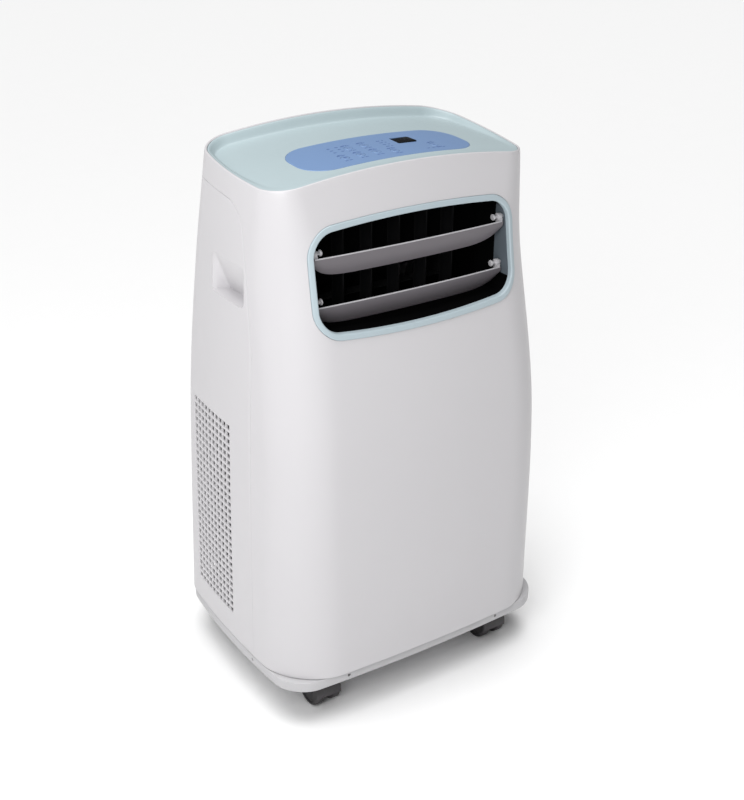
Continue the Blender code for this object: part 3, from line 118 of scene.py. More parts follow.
GRILLE_HALF, GRILLE_LOW, GRILLE_HIGH = 0.120, 0.450, 0.640
COLLAR_Z, COLLAR_R, COLLAR_BORE, COLLAR_FLANGE = 0.300, 0.0740, 0.0700, 0.0810
COLLAR_FRONT, COLLAR_REAR = 0.118, 0.1690
DRAINS = {"drain_plug_low": (0.085, 0.100), "drain_plug_high": (-0.100, 0.432)}
DRAIN_R = 0.0070
GLAND_AT, GLAND_R = (0.125, 0.130), 0.0085

# Places beyond every face and above everything, for cutters.
FAR, HIGH = 0.3, 0.9
SIDES = (("left", -1), ("right", 1))

# Fineness of the visible surfaces.
ARC_STEPS, SIDE_STEPS, FACE_STEPS = 14, 18, 40
OUTER_ROWS, INNER_ROWS, LIP_STEPS = 72, 14, 8


# ---- Cabinet surface -----------------------------------------------------------------

def smooth_slopes(heights, values):
    """Slopes of a monotone cubic through the values, so that no face overshoots."""
    steps = [(v1 - v0) / (h1 - h0) for h0, h1, v0, v1 in zip(heights, heights[1:], values, values[1:])]
    slopes = [steps[0]]
    for left, right in zip(steps, steps[1:]):
        slopes.append(0.0 if left * right <= 0 else 2 * left * right / (left + right))
    return slopes + [steps[-1]]


HEIGHTS = [section[0] for section in SECTIONS]
COLUMNS = [(column, smooth_slopes(HEIGHTS, column)) for column in list(zip(*SECTIONS))[1:]]


def section_at(z):
    """Width, depth, centre y, corner radii and bows of the cabinet at a height."""
    span = max(i for i in range(len(HEIGHTS) - 1) if z >= HEIGHTS[i] or i == 0)
    rise = HEIGHTS[span + 1] - HEIGHTS[span]
    t = (z - HEIGHTS[span]) / rise
    found = []
    for column, slopes in COLUMNS:
        low, high = column[span], column[span + 1]
        found.append(
            low * (1 + 2 * t) * (1 - t) ** 2 + slopes[span] * rise * t * (1 - t) ** 2
            + high * t * t * (3 - 2 * t) - slopes[span + 1] * rise * t * t * (1 - t)
        )
    return found


def bowed(x, y, half_w, half_d, face_bow):
    """A point of the plain outline, moved out with the bow of its side and face."""
    across = math.copysign(SIDE_BOW, x) * (1 - (y / half_d) ** 2) * abs(x / half_w)
    along = math.copysign(face_bow, y) * (1 - (x / half_w) ** 2) * abs(y / half_d)
    return x + across, y + along


def outline_at(z, inset=0.0):
    """The cabinet's outline at a height, as (x, y) points, moved inward by inset."""
    width, depth, y_mid, front_r, back_r, front_bow, back_bow = section_at(z)
    half_w, half_d = width / 2 - inset, depth / 2 - inset
    corners = ((1, -1, front_r), (1, 1, back_r), (-1, 1, back_r), (-1, -1, front_r))
    points = []
    for number, (sx, sy, radius) in enumerate(corners):
        radius -= inset
        for step in range(ARC_STEPS + 1):
            angle = math.radians(90) * (number - 1 + step / ARC_STEPS)
            points.append((sx * (half_w - radius) + radius * math.cos(angle),
                           sy * (half_d - radius) + radius * math.sin(angle)))
        nx, ny, next_r = corners[(number + 1) % 4]
        next_r -= inset
        start = points[-1]
        end = (nx * half_w, ny * (half_d - next_r)) if sx == nx else (nx * (half_w - next_r), ny * half_d)
        steps = SIDE_STEPS if sx == nx else FACE_STEPS
        points += [tuple(a + (b - a) * i / steps for a, b in zip(start, end)) for i in range(1, steps)]
    made = []
    for x, y in points:
        x, y = bowed(x, y, half_w, half_d, back_bow if y > 0 else front_bow)
        made.append((x, y + y_mid))
    return made


def rim_height(x, y):
    return RIM_Z + RIM_DOME * (1 - (x / RIM_HALF_WIDTH) ** 2) + RIM_RISE * (y - RIM_Y)


def dish_height(x, y):
    return DISH_Z + DISH_DOME * (1 - (x / RIM_HALF_WIDTH) ** 2) + DISH_RISE * (y - RIM_Y)


def rim_blend(z):
    return max(0.0, (z - LEAN_Z) / (RIM_Z - LEAN_Z)) ** 2


def cabinet_ring(z, inset=0.0):
    """One ring of the cabinet: level low down, following the rim higher up."""
    return [(x, y, z + rim_blend(z) * (rim_height(x, y) - RIM_Z)) for x, y in outline_at(z, inset)]


def settle(z, at):
    """The point of the cabinet at a true height, where at(level) gives (x, y) on a level."""
    level = z
    for _ in range(9):
        x, y = at(level)
        level = z - rim_blend(level) * (rim_height(x, y) - RIM_Z)
    return x, y, z


def side_point(w, z, inset=0.0):
    """Right side, and round its rear corner: w is y on the side, then the length walked on."""
    def at(level):
        width, depth, y_mid, _, back_r, _, back_bow = section_at(level)
        half_w, half_d = width / 2 - inset, depth / 2 - inset
        back_r -= inset
        turn = half_d - back_r
        gone = w - y_mid - turn
        if gone <= 0:
            x, y = half_w, w - y_mid
        elif gone <= back_r * math.pi / 2:
            x, y = half_w - back_r * (1 - math.cos(gone / back_r)), turn + back_r * math.sin(gone / back_r)
        else:
            x, y = half_w - back_r - (gone - back_r * math.pi / 2), half_d
        x, y = bowed(x, y, half_w, half_d, back_bow if y > 0 else 0.0)
        return x, y + y_mid
    return settle(z, at)


def face_point(x, z, sign, inset=0.0):
    """Front (sign -1) or back (sign 1) of the cabinet at a true x and height."""
    def at(level):
        width, depth, y_mid, front_r, back_r, front_bow, back_bow = section_at(level)
        half_w, half_d = width / 2 - inset, depth / 2 - inset
        radius = (back_r if sign > 0 else front_r) - inset
        base = x
        for _ in range(4):
            past = min(max(0.0, abs(base) - (half_w - radius)), radius)
            y = sign * (half_d - radius + math.sqrt(radius ** 2 - past ** 2))
            found = bowed(base, y, half_w, half_d, back_bow if sign > 0 else front_bow)
            base += x - found[0]
        return x, found[1] + y_mid
    return settle(z, at)


def parting_line(shift):
    """The line between front shell and side panels as (y, z), moved back and down by shift."""
    line = [(PART_Y_LOW + shift, 0.0), (PART_Y_LOW + shift, PART_BEND_Z)]
    for step in range(PART_STEPS + 1):
        angle = math.radians(180 - 90 * step / PART_STEPS)
        line.append((PART_CORNER_Y + (PART_CORNER - shift) * math.cos(angle),
                     PART_TOP_Z - PART_CORNER + (PART_CORNER - shift) * math.sin(angle)))
    line.append((FAR, PART_TOP_Z - shift + PART_SLOPE * (FAR - PART_CORNER_Y)))
    return line


def scaled(ring, factor, height, centre_y=RIM_Y):
    """A ring drawn in towards the middle, each point put at height(x, y)."""
    points = [(x * factor, centre_y + (y - centre_y) * factor) for x, y, *_ in ring]
    return [(x, y, height(x, y)) for x, y in points]


# ---- Mesh helpers --------------------------------------------------------------------

SCENE = bpy.context.scene.collection


def object_from(name, mesh_data, closed=True):
    """A linked object with this mesh. A closed one gets its faces turned outward."""
    mesh_data.normal_update()
    if closed:
        bmesh.ops.recalc_face_normals(mesh_data, faces=mesh_data.faces)
    mesh = bpy.data.meshes.new(name)
    mesh_data.to_mesh(mesh)
    mesh_data.free()
    made = bpy.data.objects.new(name, mesh)
    SCENE.objects.link(made)
    return made


def loft(name, rings, closed=False):
    """Skin between rings of equally many points: a tube wall if closed, else a capped solid."""
    mesh_data = bmesh.new()
    rows = [[mesh_data.verts.new(point) for point in ring] for ring in rings]
    pairs = list(zip(rows, rows[1:])) + ([(rows[-1], rows[0])] if closed else [])
    for lower, upper in pairs:
        for i in range(len(lower)):
            j = (i + 1) % len(lower)
            mesh_data.faces.new((lower[i], lower[j], upper[j], upper[i]))
    if not closed:
        for row in (rows[0], rows[-1]):
            hub = mesh_data.verts.new(sum((vert.co for vert in row), Vector()) / len(row))
            for i in range(len(row)):
                mesh_data.faces.new((row[i], row[(i + 1) % len(row)], hub))
    return object_from(name, mesh_data)


def grid_skin(name, rows, skip=None):
    """An open skin over a grid of points. skip(row, column) says which cells stay open."""
    mesh_data = bmesh.new()
    verts = [[mesh_data.verts.new(point) for point in row] for row in rows]
    for r in range(len(rows) - 1):
        for c in range(len(rows[0]) - 1):
            if skip is None or not skip(r, c):
                mesh_data.faces.new((verts[r][c], verts[r][c + 1], verts[r + 1][c + 1], verts[r + 1][c]))
    loose = [vert for vert in mesh_data.verts if not vert.link_faces]
    bmesh.ops.delete(mesh_data, geom=loose, context="VERTS")
    return object_from(name, mesh_data, closed=False)


def box(name, low, high, rounding=0.0):
    size = Vector(high) - Vector(low)
    centre = (Vector(low) + Vector(high)) / 2
    at = Matrix.Translation(centre) @ Matrix.Diagonal((*size, 1.0))
    mesh_data = bmesh.new()
    bmesh.ops.create_cube(mesh_data, size=1.0, matrix=at)
    if rounding:
        bmesh.ops.bevel(mesh_data, geom=mesh_data.edges[:], offset=rounding, segments=2,
                        profile=0.5, affect="EDGES", clamp_overlap=True)
    return object_from(name, mesh_data)


AXIS_POINT = {
    "X": lambda u, v, along: (along, u, v),
    "Y": lambda u, v, along: (u, along, v),
    "Z": lambda u, v, along: (u, v, along),
}


def turned(name, profile, centre, axis="Z", sides=48, closed=False):
    """A profile of (radius, distance along the axis) swept round the axis."""
    point_at = AXIS_POINT[axis]
    rings = []
    for radius, distance in profile:
        ring = []
        for i in range(sides):
            angle = 2 * math.pi * i / sides
            offset = point_at(radius * math.cos(angle), radius * math.sin(angle), distance)
            ring.append(tuple(c + o for c, o in zip(centre, offset)))
        rings.append(ring)
    return loft(name, rings, closed)


def rod(name, radius, low, high, centre, axis="Z", sides=32):
    """A plain round rod, or the hole it leaves, from low to high along its axis."""
    return turned(name, [(radius, low), (radius, high)], centre, axis, sides)


def pin(name, x_from, x_to, y, z, radius, rounding=0.0004):
    """A round pin along X with softened ends."""
    profile = [(radius - rounding, x_from), (radius, x_from + rounding),
               (radius, x_to - rounding), (radius - rounding, x_to)]
    return turned(name, profile, (0, y, z), "X", 24)


def quarter_turn(steps, first=1):
    """Cosine and sine at even steps of a quarter turn."""
    turns = [math.radians(90) * step / steps for step in range(first, steps + 1)]
    return [(math.cos(turn), math.sin(turn)) for turn in turns]


def mirrored(profile):
    """A turned profile on the other side of its middle, still going up along the axis."""
    return [(radius, -distance) for radius, distance in reversed(profile)]


def rounded_rectangle(half_w, half_h, radius, centre=(0.0, 0.0), steps=10, bow=0.0, run_steps=12):
    """Points round a rectangle whose top and bottom edges bow outward."""
    points = []
    for number, (sx, sy) in enumerate(((1, 1), (-1, 1), (-1, -1), (1, -1))):
        for step in range(steps + 1):
            angle = math.radians(90) * (number + step / steps)
            points.append((sx * (half_w - radius) + radius * math.cos(angle),
                           sy * (half_h - radius) + radius * math.sin(angle)))
        along_x = number in (0, 2)
        run = (half_w if along_x else half_h) - radius
        for i in range(1, run_steps):
            t = 1 - 2 * i / run_steps
            points.append((sx * run * t, sy * half_h) if along_x else (sx * half_w, sy * run * t))
    made = []
    for u, v in points:
        lift = math.copysign(bow, v) * (1 - (u / half_w) ** 2) * abs(v / half_h)
        made.append((centre[0] + u, centre[1] + v + lift))
    return made


def opening(half_w, low, high, margin, radius, centre_x=0.0, **fineness):
    """A rounded rectangle from low to high, all its sides moved outward by margin."""
    return rounded_rectangle(half_w + margin, (high - low) / 2 + margin, radius,
                             (centre_x, (high + low) / 2), **fineness)


def prism(name, outline, low, high, axis="Z", rounding=0.0):
    """A flat outline extruded from low to high, its two rims rounded if asked."""
    point_at = AXIS_POINT[axis]
    mesh_data = bmesh.new()
    rows = []
    for distance in (low, high):
        rows.append([mesh_data.verts.new(point_at(u, v, distance)) for u, v in outline])
    count = len(outline)
    for i in range(count):
        j = (i + 1) % count
        mesh_data.faces.new((rows[0][i], rows[0][j], rows[1][j], rows[1][i]))
    caps = [mesh_data.faces.new(rows[0]), mesh_data.faces.new(rows[1])]
    if rounding:
        edges = [edge for cap in caps for edge in cap.edges]
        bmesh.ops.bevel(mesh_data, geom=edges, offset=rounding, segments=3, profile=0.5,
                        affect="EDGES", clamp_overlap=True)
    return object_from(name, mesh_data)


def apply_all(thing):
    """Replace the object's mesh by what its modifiers make of it."""
    graph = bpy.context.evaluated_depsgraph_get()
    mesh = bpy.data.meshes.new_from_object(thing.evaluated_get(graph))
    thing.modifiers.clear()
    old, thing.data = thing.data, mesh
    bpy.data.meshes.remove(old)


def boolean(thing, operation, others):
    """Apply Booleans with other objects, and throw those away."""
    for other in others:
        modifier = thing.modifiers.new(operation, "BOOLEAN")
        modifier.operation = operation
        modifier.object = other
    apply_all(thing)
    for other in others:
        mesh = other.data
        bpy.data.objects.remove(other)
        bpy.data.meshes.remove(mesh)


def cut(thing, *cutters):
    boolean(thing, "DIFFERENCE", cutters)


def keep(thing, *cutters):
    boolean(thing, "INTERSECT", cutters)


def join(thing, *others):
    boolean(thing, "UNION", others)


def soften(thing, width):
    """Round the sharp edges of a perforated panel."""
    modifier = thing.modifiers.new("Bevel", "BEVEL")
    modifier.width = width
    modifier.segments = 2
    modifier.limit_method = "ANGLE"
    modifier.angle_limit = math.radians(50)
    modifier.use_clamp_overlap = True
    apply_all(thing)


def thicken(thing, thickness, even=False):
    """Give an open skin its wall, on the inner side."""
    modifier = thing.modifiers.new("Solidify", "SOLIDIFY")
    modifier.thickness = thickness
    modifier.offset = -1
    if even:
        modifier.use_even_offset = True
    apply_all(thing)


# ---- Materials -----------------------------------------------------------------------

def add_node(tree, kind, **values):
    """A new node with these input values. An underscore in a name stands for a space."""
    node = tree.nodes.new(kind)
    for name, value in values.items():
        node.inputs[name.replace("_", " ")].default_value = value
    return node


def add_noise(tree, scale, detail=4.0, roughness=0.55, stretch=None):
    """A noise texture on the piece's own coordinates, stretched along an axis if asked."""
    coords = tree.nodes.new("ShaderNodeTexCoord")
    noise = add_node(tree, "ShaderNodeTexNoise", Scale=scale, Detail=detail, Roughness=roughness)
    source = coords.outputs["Object"]
    if stretch:
        mapping = add_node(tree, "ShaderNodeMapping", Scale=stretch)
        tree.links.new(source, mapping.inputs["Vector"])
        source = mapping.outputs["Vector"]
    tree.links.new(source, noise.inputs["Vector"])
    return noise.outputs["Fac"]


def add_bump(tree, shader, height, depth, strength):
    bump = add_node(tree, "ShaderNodeBump", Distance=depth, Strength=strength)
    tree.links.new(height, bump.inputs["Height"])
    tree.links.new(bump.outputs["Normal"], shader.inputs["Normal"])


def map_range(tree, source, low, high, from_low=0.3, from_high=0.7):
    node = add_node(tree, "ShaderNodeMapRange", From_Min=from_low, From_Max=from_high,
                    To_Min=low, To_Max=high)
    tree.links.new(source, node.inputs["Value"])
    return node.outputs["Result"]


def mix_colours(tree, factor, first, second):
    """Mix two colours, each a plain one or another node's output."""
    node = tree.nodes.new("ShaderNodeMix")
    node.data_type = "RGBA"
    tree.links.new(factor, node.inputs["Factor"])
    for socket, value in ((node.inputs["A"], first), (node.inputs["B"], second)):
        if isinstance(value, tuple):
            socket.default_value = (*value, 1.0)
        else:
            tree.links.new(value, socket)
    return node.outputs["Result"]


def tint(colour, factor):
    return tuple(min(1.0, channel * factor) for channel in colour)


def moulded(name, colour, roughness=0.4, spread=0.05, grain=1400.0, depth=0.00002, mottle=0.03,
            metallic=0.0, coat=0.0, dust=None, stretch=None, level=0.5):
    """Moulded or painted stuff: cloudy tone, fine grain in the bump, uneven gloss, optional dust."""
    material = bpy.data.materials.new(name)
    material.use_nodes = True
    tree = material.node_tree
    shader = tree.nodes["Principled BSDF"]
    shader.inputs["Metallic"].default_value = metallic
    shader.inputs["Coat Weight"].default_value = coat
    shader.inputs["Coat Roughness"].default_value = 0.12
    shader.inputs["Specular IOR Level"].default_value = level
    cloud_scale, gloss_scale, dust_scale = 9.0, 45.0, 60.0
    cloud = add_noise(tree, cloud_scale, 5.0)
    dim, bright = tint(colour, 1 - mottle), tint(colour, 1 + mottle)
    tone = mix_colours(tree, map_range(tree, cloud, 0.0, 1.0), dim, bright)
    speck = add_noise(tree, grain * 0.6, 2.0, 0.6, stretch)
    tone = mix_colours(tree, map_range(tree, speck, 0.0, 0.35), tone, tint(colour, 1 - 2 * mottle))
    if dust:
        amount = map_range(tree, add_noise(tree, dust_scale, 6.0, 0.7), 0.0, 0.35, 0.45, 0.8)
        tone = mix_colours(tree, amount, tone, dust)
    tree.links.new(tone, shader.inputs["Base Color"])
    uneven = add_noise(tree, gloss_scale, 6.0, 0.6, stretch)
    gloss = map_range(tree, uneven, roughness - spread, roughness + spread)
    tree.links.new(gloss, shader.inputs["Roughness"])
    add_bump(tree, shader, add_noise(tree, grain, 3.0, 0.6, stretch), depth, strength=0.6)
    return material


# Length of one band of the wave texture at scale 1.
BAND_LENGTH = 0.314


def waves(name, colour, dark, pitch, direction, roughness=0.35, metallic=0.9, depth=0.0006):
    """Parallel fins or weave lines at a real pitch."""
    material = moulded(name, colour, roughness, 0.08, 700.0, 0.00002, 0.05, metallic)
    tree = material.node_tree
    shader = tree.nodes["Principled BSDF"]
    coords = tree.nodes.new("ShaderNodeTexCoord")
    wave = tree.nodes.new("ShaderNodeTexWave")
    wave.wave_type = "BANDS"
    wave.bands_direction = direction
    wave.inputs["Scale"].default_value = BAND_LENGTH / pitch
    tree.links.new(coords.outputs["Object"], wave.inputs["Vector"])
    base = shader.inputs["Base Color"].links[0].from_socket
    line = map_range(tree, wave.outputs["Fac"], 0.0, 1.0, 0.2, 0.8)
    tree.links.new(mix_colours(tree, line, dark, base), shader.inputs["Base Color"])
    add_bump(tree, shader, wave.outputs["Fac"], depth, strength=0.7)
    return material


MATERIALS = {
    "shell": moulded("shell_white_plastic", (0.595, 0.583, 0.60), 0.36, 0.04, 1500.0, 0.000012, 0.008),
    "base": moulded("base_grey_plastic", (0.52, 0.515, 0.53), 0.48, 0.05, 1200.0, 0.00003, 0.02,
                    dust=(0.5, 0.49, 0.47)),
    "rear": moulded("rear_grey_plastic", (0.58, 0.58, 0.59), 0.46, 0.05, 1200.0, 0.00003, 0.02),
    "cover": moulded("cover_blue_grey_plastic", (0.435, 0.525, 0.55), 0.42, 0.04, 1300.0, 0.000025, 0.012),
    "ring": moulded("ring_blue_grey_plastic", (0.425, 0.505, 0.545), 0.40, 0.04, 1300.0, 0.00002, 0.015),
    # Outlet cheeks: the ring's blue-grey made dark, painted shade inside the outlet.
    "cheek": moulded("cheek_blue_grey_painted_shade", (0.105, 0.125, 0.145), 0.5, 0.05, 1300.0, 0.00002, 0.02,
                     level=0.2),
    "overlay": moulded("overlay_blue_film", (0.19, 0.305, 0.53), 0.34, 0.04, 1800.0, 0.00001, 0.02,
                       coat=0.15),
    "marks": moulded("overlay_print", (0.055, 0.10, 0.30), 0.45, 0.05, 1800.0, 0.00001, 0.03),
    "display": moulded("display_smoked_window", (0.003, 0.003, 0.004), 0.30, 0.03, 1500.0, 0.000004, 0.05,
                       level=0.05),
    "digits": moulded("display_segments", (0.012, 0.013, 0.015), 0.35, 0.04, 1500.0, 0.000004, 0.05,
                      level=0.1),
    # Louver blades: darker than their own light grey plastic, painted shade of the blade faces that turn
    # downward.
    "louver": moulded("louver_grey_painted_shade", (0.145, 0.132, 0.145), 0.42, 0.05, 1400.0, 0.00002, 0.03),
    "lug": moulded("lug_light_plastic", (0.50, 0.49, 0.51), 0.38, 0.05, 1400.0, 0.00002, 0.02),
    "black": moulded("black_plastic", (0.010, 0.010, 0.011), 0.55, 0.08, 1200.0, 0.00003, 0.08),
    "inside": moulded("inside_matt_black", (0.003, 0.003, 0.0032), 0.75, 0.08, 1200.0, 0.00003, 0.08,
                      level=0.0),
    "vane": moulded("vane_black_plastic", (0.005, 0.005, 0.0055), 0.55, 0.08, 1200.0, 0.00003, 0.08,
                    level=0.08),
    "caster": moulded("caster_dark_plastic", (0.028, 0.024, 0.028), 0.42, 0.08, 1000.0, 0.00004, 0.08,
                      dust=(0.09, 0.085, 0.08)),
    "tyre": moulded("wheel_dark_rubber", (0.022, 0.020, 0.022), 0.62, 0.08, 900.0, 0.00006, 0.10,
                    dust=(0.10, 0.095, 0.09)),
    "rubber": moulded("plug_dark_rubber", (0.030, 0.028, 0.030), 0.65, 0.06, 900.0, 0.00005, 0.08),
    "filter": waves("filter_weave", (0.10, 0.11, 0.12), (0.015, 0.015, 0.017), 0.0016, "X",
                    0.6, 0.0, 0.0003),
    "zinc": moulded("galvanised_sheet", (0.42, 0.43, 0.45), 0.38, 0.10, 260.0, 0.00002, 0.10, metallic=0.9),
    "fins": waves("coil_fins", (0.045, 0.047, 0.050), (0.004, 0.004, 0.005), 0.0016, "Y", 0.5, 0.4),
    "copper": moulded("copper_tube", (0.60, 0.27, 0.14), 0.30, 0.08, 300.0, 0.00001, 0.10,
                      metallic=1.0, dust=(0.22, 0.10, 0.06)),
    "compressor": moulded("compressor_black_paint", (0.020, 0.020, 0.022), 0.38, 0.06, 500.0, 0.00004, 0.06,
                          coat=0.3),
    "board": moulded("board_green_mask", (0.015, 0.10, 0.045), 0.35, 0.05, 400.0, 0.00003, 0.10),
    "scroll": moulded("scroll_black_foam", (0.010, 0.010, 0.011), 0.75, 0.05, 900.0, 0.00003, 0.05,
                      dust=(0.05, 0.05, 0.048)),
}


# ---- Placing pieces ------------------------------------------------------------------

def paint(thing, look):
    thing.data.materials.clear()
    thing.data.materials.append(MATERIALS[look])


def place(thing, look, slot, body, *nodes, angle=32):
    """Finish a piece: its material, its shading, the body it rides on and what it replaces."""
    paint(thing, look)
    thing.data.shade_smooth()
    thing.data.set_sharp_from_angle(angle=math.radians(angle))
    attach(thing, body)
    if nodes:
        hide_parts(*nodes)


def carry(look, *nodes):
    """Give frame nodes that stay a finished material."""
    for node in nodes:
        paint(NODES[node], look)


# ---- Cabinet shells ------------------------------------------------------------------

def cabinet_wall(name):
    """The whole cabinet's skin as one tube wall: outer face, rounded rim lip and inner face."""
    radius = WALL / 2
    top = RIM_Z - 0.0030
    rings = [cabinet_ring(SEAM_Z + (top - SEAM_Z) * row / OUTER_ROWS) for row in range(OUTER_ROWS + 1)]
    for step in range(LIP_STEPS + 1):
        turn = math.pi * step / LIP_STEPS
        drop = radius * (1 - math.sin(turn)) + 0.0002
        ring = cabinet_ring(RIM_Z, radius * (1 - math.cos(turn)))
        rings.append([(x, y, z - drop) for x, y, z in ring])
    for row in range(INNER_ROWS + 1):
        rings.append(cabinet_ring(top + (SEAM_Z - top) * (row / INNER_ROWS), WALL))
    return loft(name, rings, closed=True)


def front_region(name, shift):
    """All that lies ahead of the parting line."""
    outline = parting_line(shift) + [(FAR, HIGH), (-FAR, HIGH), (-FAR, 0.0)]
    return prism(name, outline, -FAR, FAR, "X")


def ring_outline(inset):
    """The outlet's outline as (x, z), moved inward by inset."""
    return opening(RING_HALF_W, RING_LOW, RING_HIGH, -inset, RING_CORNER - inset,
                   steps=14, bow=RING_BOW, run_steps=24)


def make_front_shell():
    shell = cabinet_wall("front_shell_fine")
    keep(shell, front_region("cut_front", 0.0))
    cut(shell, prism("cut_outlet", ring_outline(-GAP), -FAR, -0.02, "Y"))
    place(shell, "shell", "shell_white", "cabinet", "front_shell")


def along(line, share):
    """The point at a share of a polyline's length."""
    lengths = [math.dist(a, b) for a, b in zip(line, line[1:])]
    left = share * sum(lengths)
    for (start, end), length in zip(zip(line, line[1:]), lengths):
        if left <= length or end == line[-1]:
            t = min(1.0, left / length)
            return tuple(a + (b - a) * t for a, b in zip(start, end))
        left -= length


def rear_edge(z):
    """How far round the rear corner the side panel ends, at a height."""
    low, high = 0.0, 0.30
    for _ in range(30):
        middle = (low + high) / 2
        x, y, _ = side_point(middle, z)
        low, high = (middle, high) if y < 0.03 or x > REAR_PANEL_HALF else (low, middle)
    return low


def openings(low, high, count, size):
    """Both edges of each of evenly spaced openings: (place, an opening starts here)."""
    pitch = (high - low) / count
    edges = []
    for number in range(count):
        start = low + number * pitch + (pitch - size) / 2
        edges += [(start, True), (start + size, False)]
    return edges


def patch_rows(bottom, top, left, right, count):
    """Rows of points on the cabinet's side, blended between four edges of (w, z)."""
    start, end = bottom[0], bottom[-1]
    rows = []
    for number in range(1, count + 1):
        t = number / count
        near, far = along(left, t), along(right, t)
        row = []
        for point in bottom:
            s = (point[0] - start[0]) / (end[0] - start[0])
            over = along(top, s)
            mixed = []
            for k in range(2):
                corner = ((1 - s) * (1 - t) * start[k] + s * (1 - t) * end[k]
                          + (1 - s) * t * top[0][k] + s * t * top[-1][k])
                mixed.append((1 - t) * point[k] + t * over[k] + (1 - s) * near[k] + s * far[k] - corner)
            row.append(side_point(*mixed))
        rows.append(row)
    return rows


def make_side_panel(side, sign):
    """A side panel as a grid that follows its slots below and its rounded outline above."""
    front_steps, back_steps, lower_steps, upper_rows = 7, 18, 4, 40
    top_steps, rear_steps = 30, 20
    columns = openings(SLOT_FRONT, SLOT_BACK, SLOT_COLUMNS, SLOT_LONG)
    rows = openings(SLOT_LOW, SLOT_HIGH, SLOT_ROWS, SLOT_TALL)
    front_w = PART_Y_LOW + PART_GAP
    first, last = columns[0][0], columns[-1][0]
    low_row, high_row = rows[0][0], rows[-1][0]

    def column_places(z):
        end = rear_edge(z)
        places = [front_w + (first - front_w) * i / front_steps for i in range(front_steps)]
        places += [w for w, _ in columns]
        return places + [last + (end - last) * i / back_steps for i in range(1, back_steps + 1)]

    heights = [SEAM_Z + (low_row - SEAM_Z) * i / lower_steps for i in range(lower_steps)]
    heights += [z for z, _ in rows]
    heights += [high_row + (FIELD_TOP - high_row) * i / 2 for i in (1, 2)]
    row_opens = [False] * lower_steps + [opens for _, opens in rows] + [False] * (2 + upper_rows)
    column_opens = [False] * front_steps + [opens for _, opens in columns] + [False] * (back_steps - 1)
    points = [[side_point(w, z) for w in column_places(z)] for z in heights]

    line = parting_line(PART_GAP)
    arc_middle, arc_end = 2 + PART_STEPS // 2, 2 + PART_STEPS
    left = [(front_w, FIELD_TOP)] + line[1:arc_middle + 1]

    def top_point(w):
        z = PART_TOP_Z
        for _ in range(6):
            y = side_point(w, z)[1]
            z = PART_TOP_Z - PART_GAP + PART_SLOPE * (y - PART_CORNER_Y)
        return w, z

    end_w, end_z = top_point(rear_edge(PART_TOP_Z))
    for _ in range(4):
        end_w, end_z = top_point(rear_edge(end_z))
    run = end_w - PART_CORNER_Y
    top = line[arc_middle:arc_end + 1]
    top += [top_point(PART_CORNER_Y + run * i / top_steps) for i in range(1, top_steps + 1)]
    bottom = [(w, FIELD_TOP) for w in column_places(FIELD_TOP)]
    climb = [FIELD_TOP + (end_z - FIELD_TOP) * i / rear_steps for i in range(rear_steps + 1)]
    right = [(rear_edge(z), z) for z in climb]
    points += patch_rows(bottom, top, left, right, upper_rows)
    points = [[(sign * x, y, z) for x, y, z in row] for row in points]
    if sign < 0:
        points = [row[::-1] for row in points]
        column_opens = column_opens[::-1]
    panel = grid_skin(f"{side}_side_panel_fine", points, lambda r, c: row_opens[r] and column_opens[c])
    thicken(panel, WALL, even=True)
    soften(panel, 0.00035)
    low, high = sorted((sign * 0.15, sign * FAR))
    cut(panel, prism(f"cut_grip_{side}", grip_outline(0.00015), low, high, "X"))
    place(panel, "shell", "shell_white", "cabinet", f"{side}_side_panel")


def grip_outline(margin):
    return opening(GRIP_HALF, GRIP_LOW, GRIP_HIGH, margin, 0.008, GRIP_Y, steps=8)


def make_grip(side, sign):
    """A hand pocket: its back slopes inward going down, and its floor ends in a sharp edge."""
    row_steps, column_steps, end_run = 26, 40, 0.010
    half = GRIP_HALF - 0.0001
    low, high = GRIP_LOW + 0.0001, GRIP_HIGH - 0.0001
    rows = []
    for row in range(row_steps + 1):
        t = row / row_steps
        slope = min(1.0, t / 0.96)
        floor = min(1.0, (1 - t) / 0.03) ** 0.5
        line = []
        for column in range(column_steps + 1):
            s = column / column_steps
            x, y, z = side_point(GRIP_Y - half + 2 * half * s, high + (low - high) * t)
            wall = min(1.0, min(s, 1 - s) * 2 * half / end_run)
            depth = GRIP_DEPTH * slope * (wall * wall * (3 - 2 * wall))
            line.append((sign * (x - 0.0004 - depth * floor), y, z))
        rows.append(line[::-1] if sign > 0 else line)
    cup = grid_skin(f"grip_{side}_fine", rows)
    thicken(cup, 0.0022)
    place(cup, "shell", "shell_white", "cabinet", f"grip_{side}", angle=40)


def make_rear_panel():
    """The back between the side panels, open for the grille, the collar and the fittings."""
    panel = cabinet_wall("rear_panel_fine")
    half = REAR_PANEL_HALF - GAP
    keep(panel, box("cut_middle", (-half, 0.03, 0), (half, FAR, HIGH)))
    cutters = [
        front_region("cut_ahead", PART_GAP),
        prism("cut_grille", grille_outline(GAP), 0.03, FAR, "Y"),
        rod("cut_collar", COLLAR_FLANGE + GAP, 0.1, FAR, (0, 0, COLLAR_Z), "Y", 96),
    ]
    for name, (x, z) in (*DRAINS.items(), ("gland", GLAND_AT)):
        radius = (GLAND_R if name == "gland" else DRAIN_R) + GAP
        cutters.append(rod(f"cut_{name}", radius, 0.1, FAR, (x, 0, z), "Y"))
    cut(panel, *cutters)
    place(panel, "shell", "shell_white", "cabinet", "rear_panel")


def grille_outline(margin):
    return opening(GRILLE_HALF, GRILLE_LOW, GRILLE_HIGH, margin, 0.012, steps=8)


# ---- Top cover and controls ----------------------------------------------------------

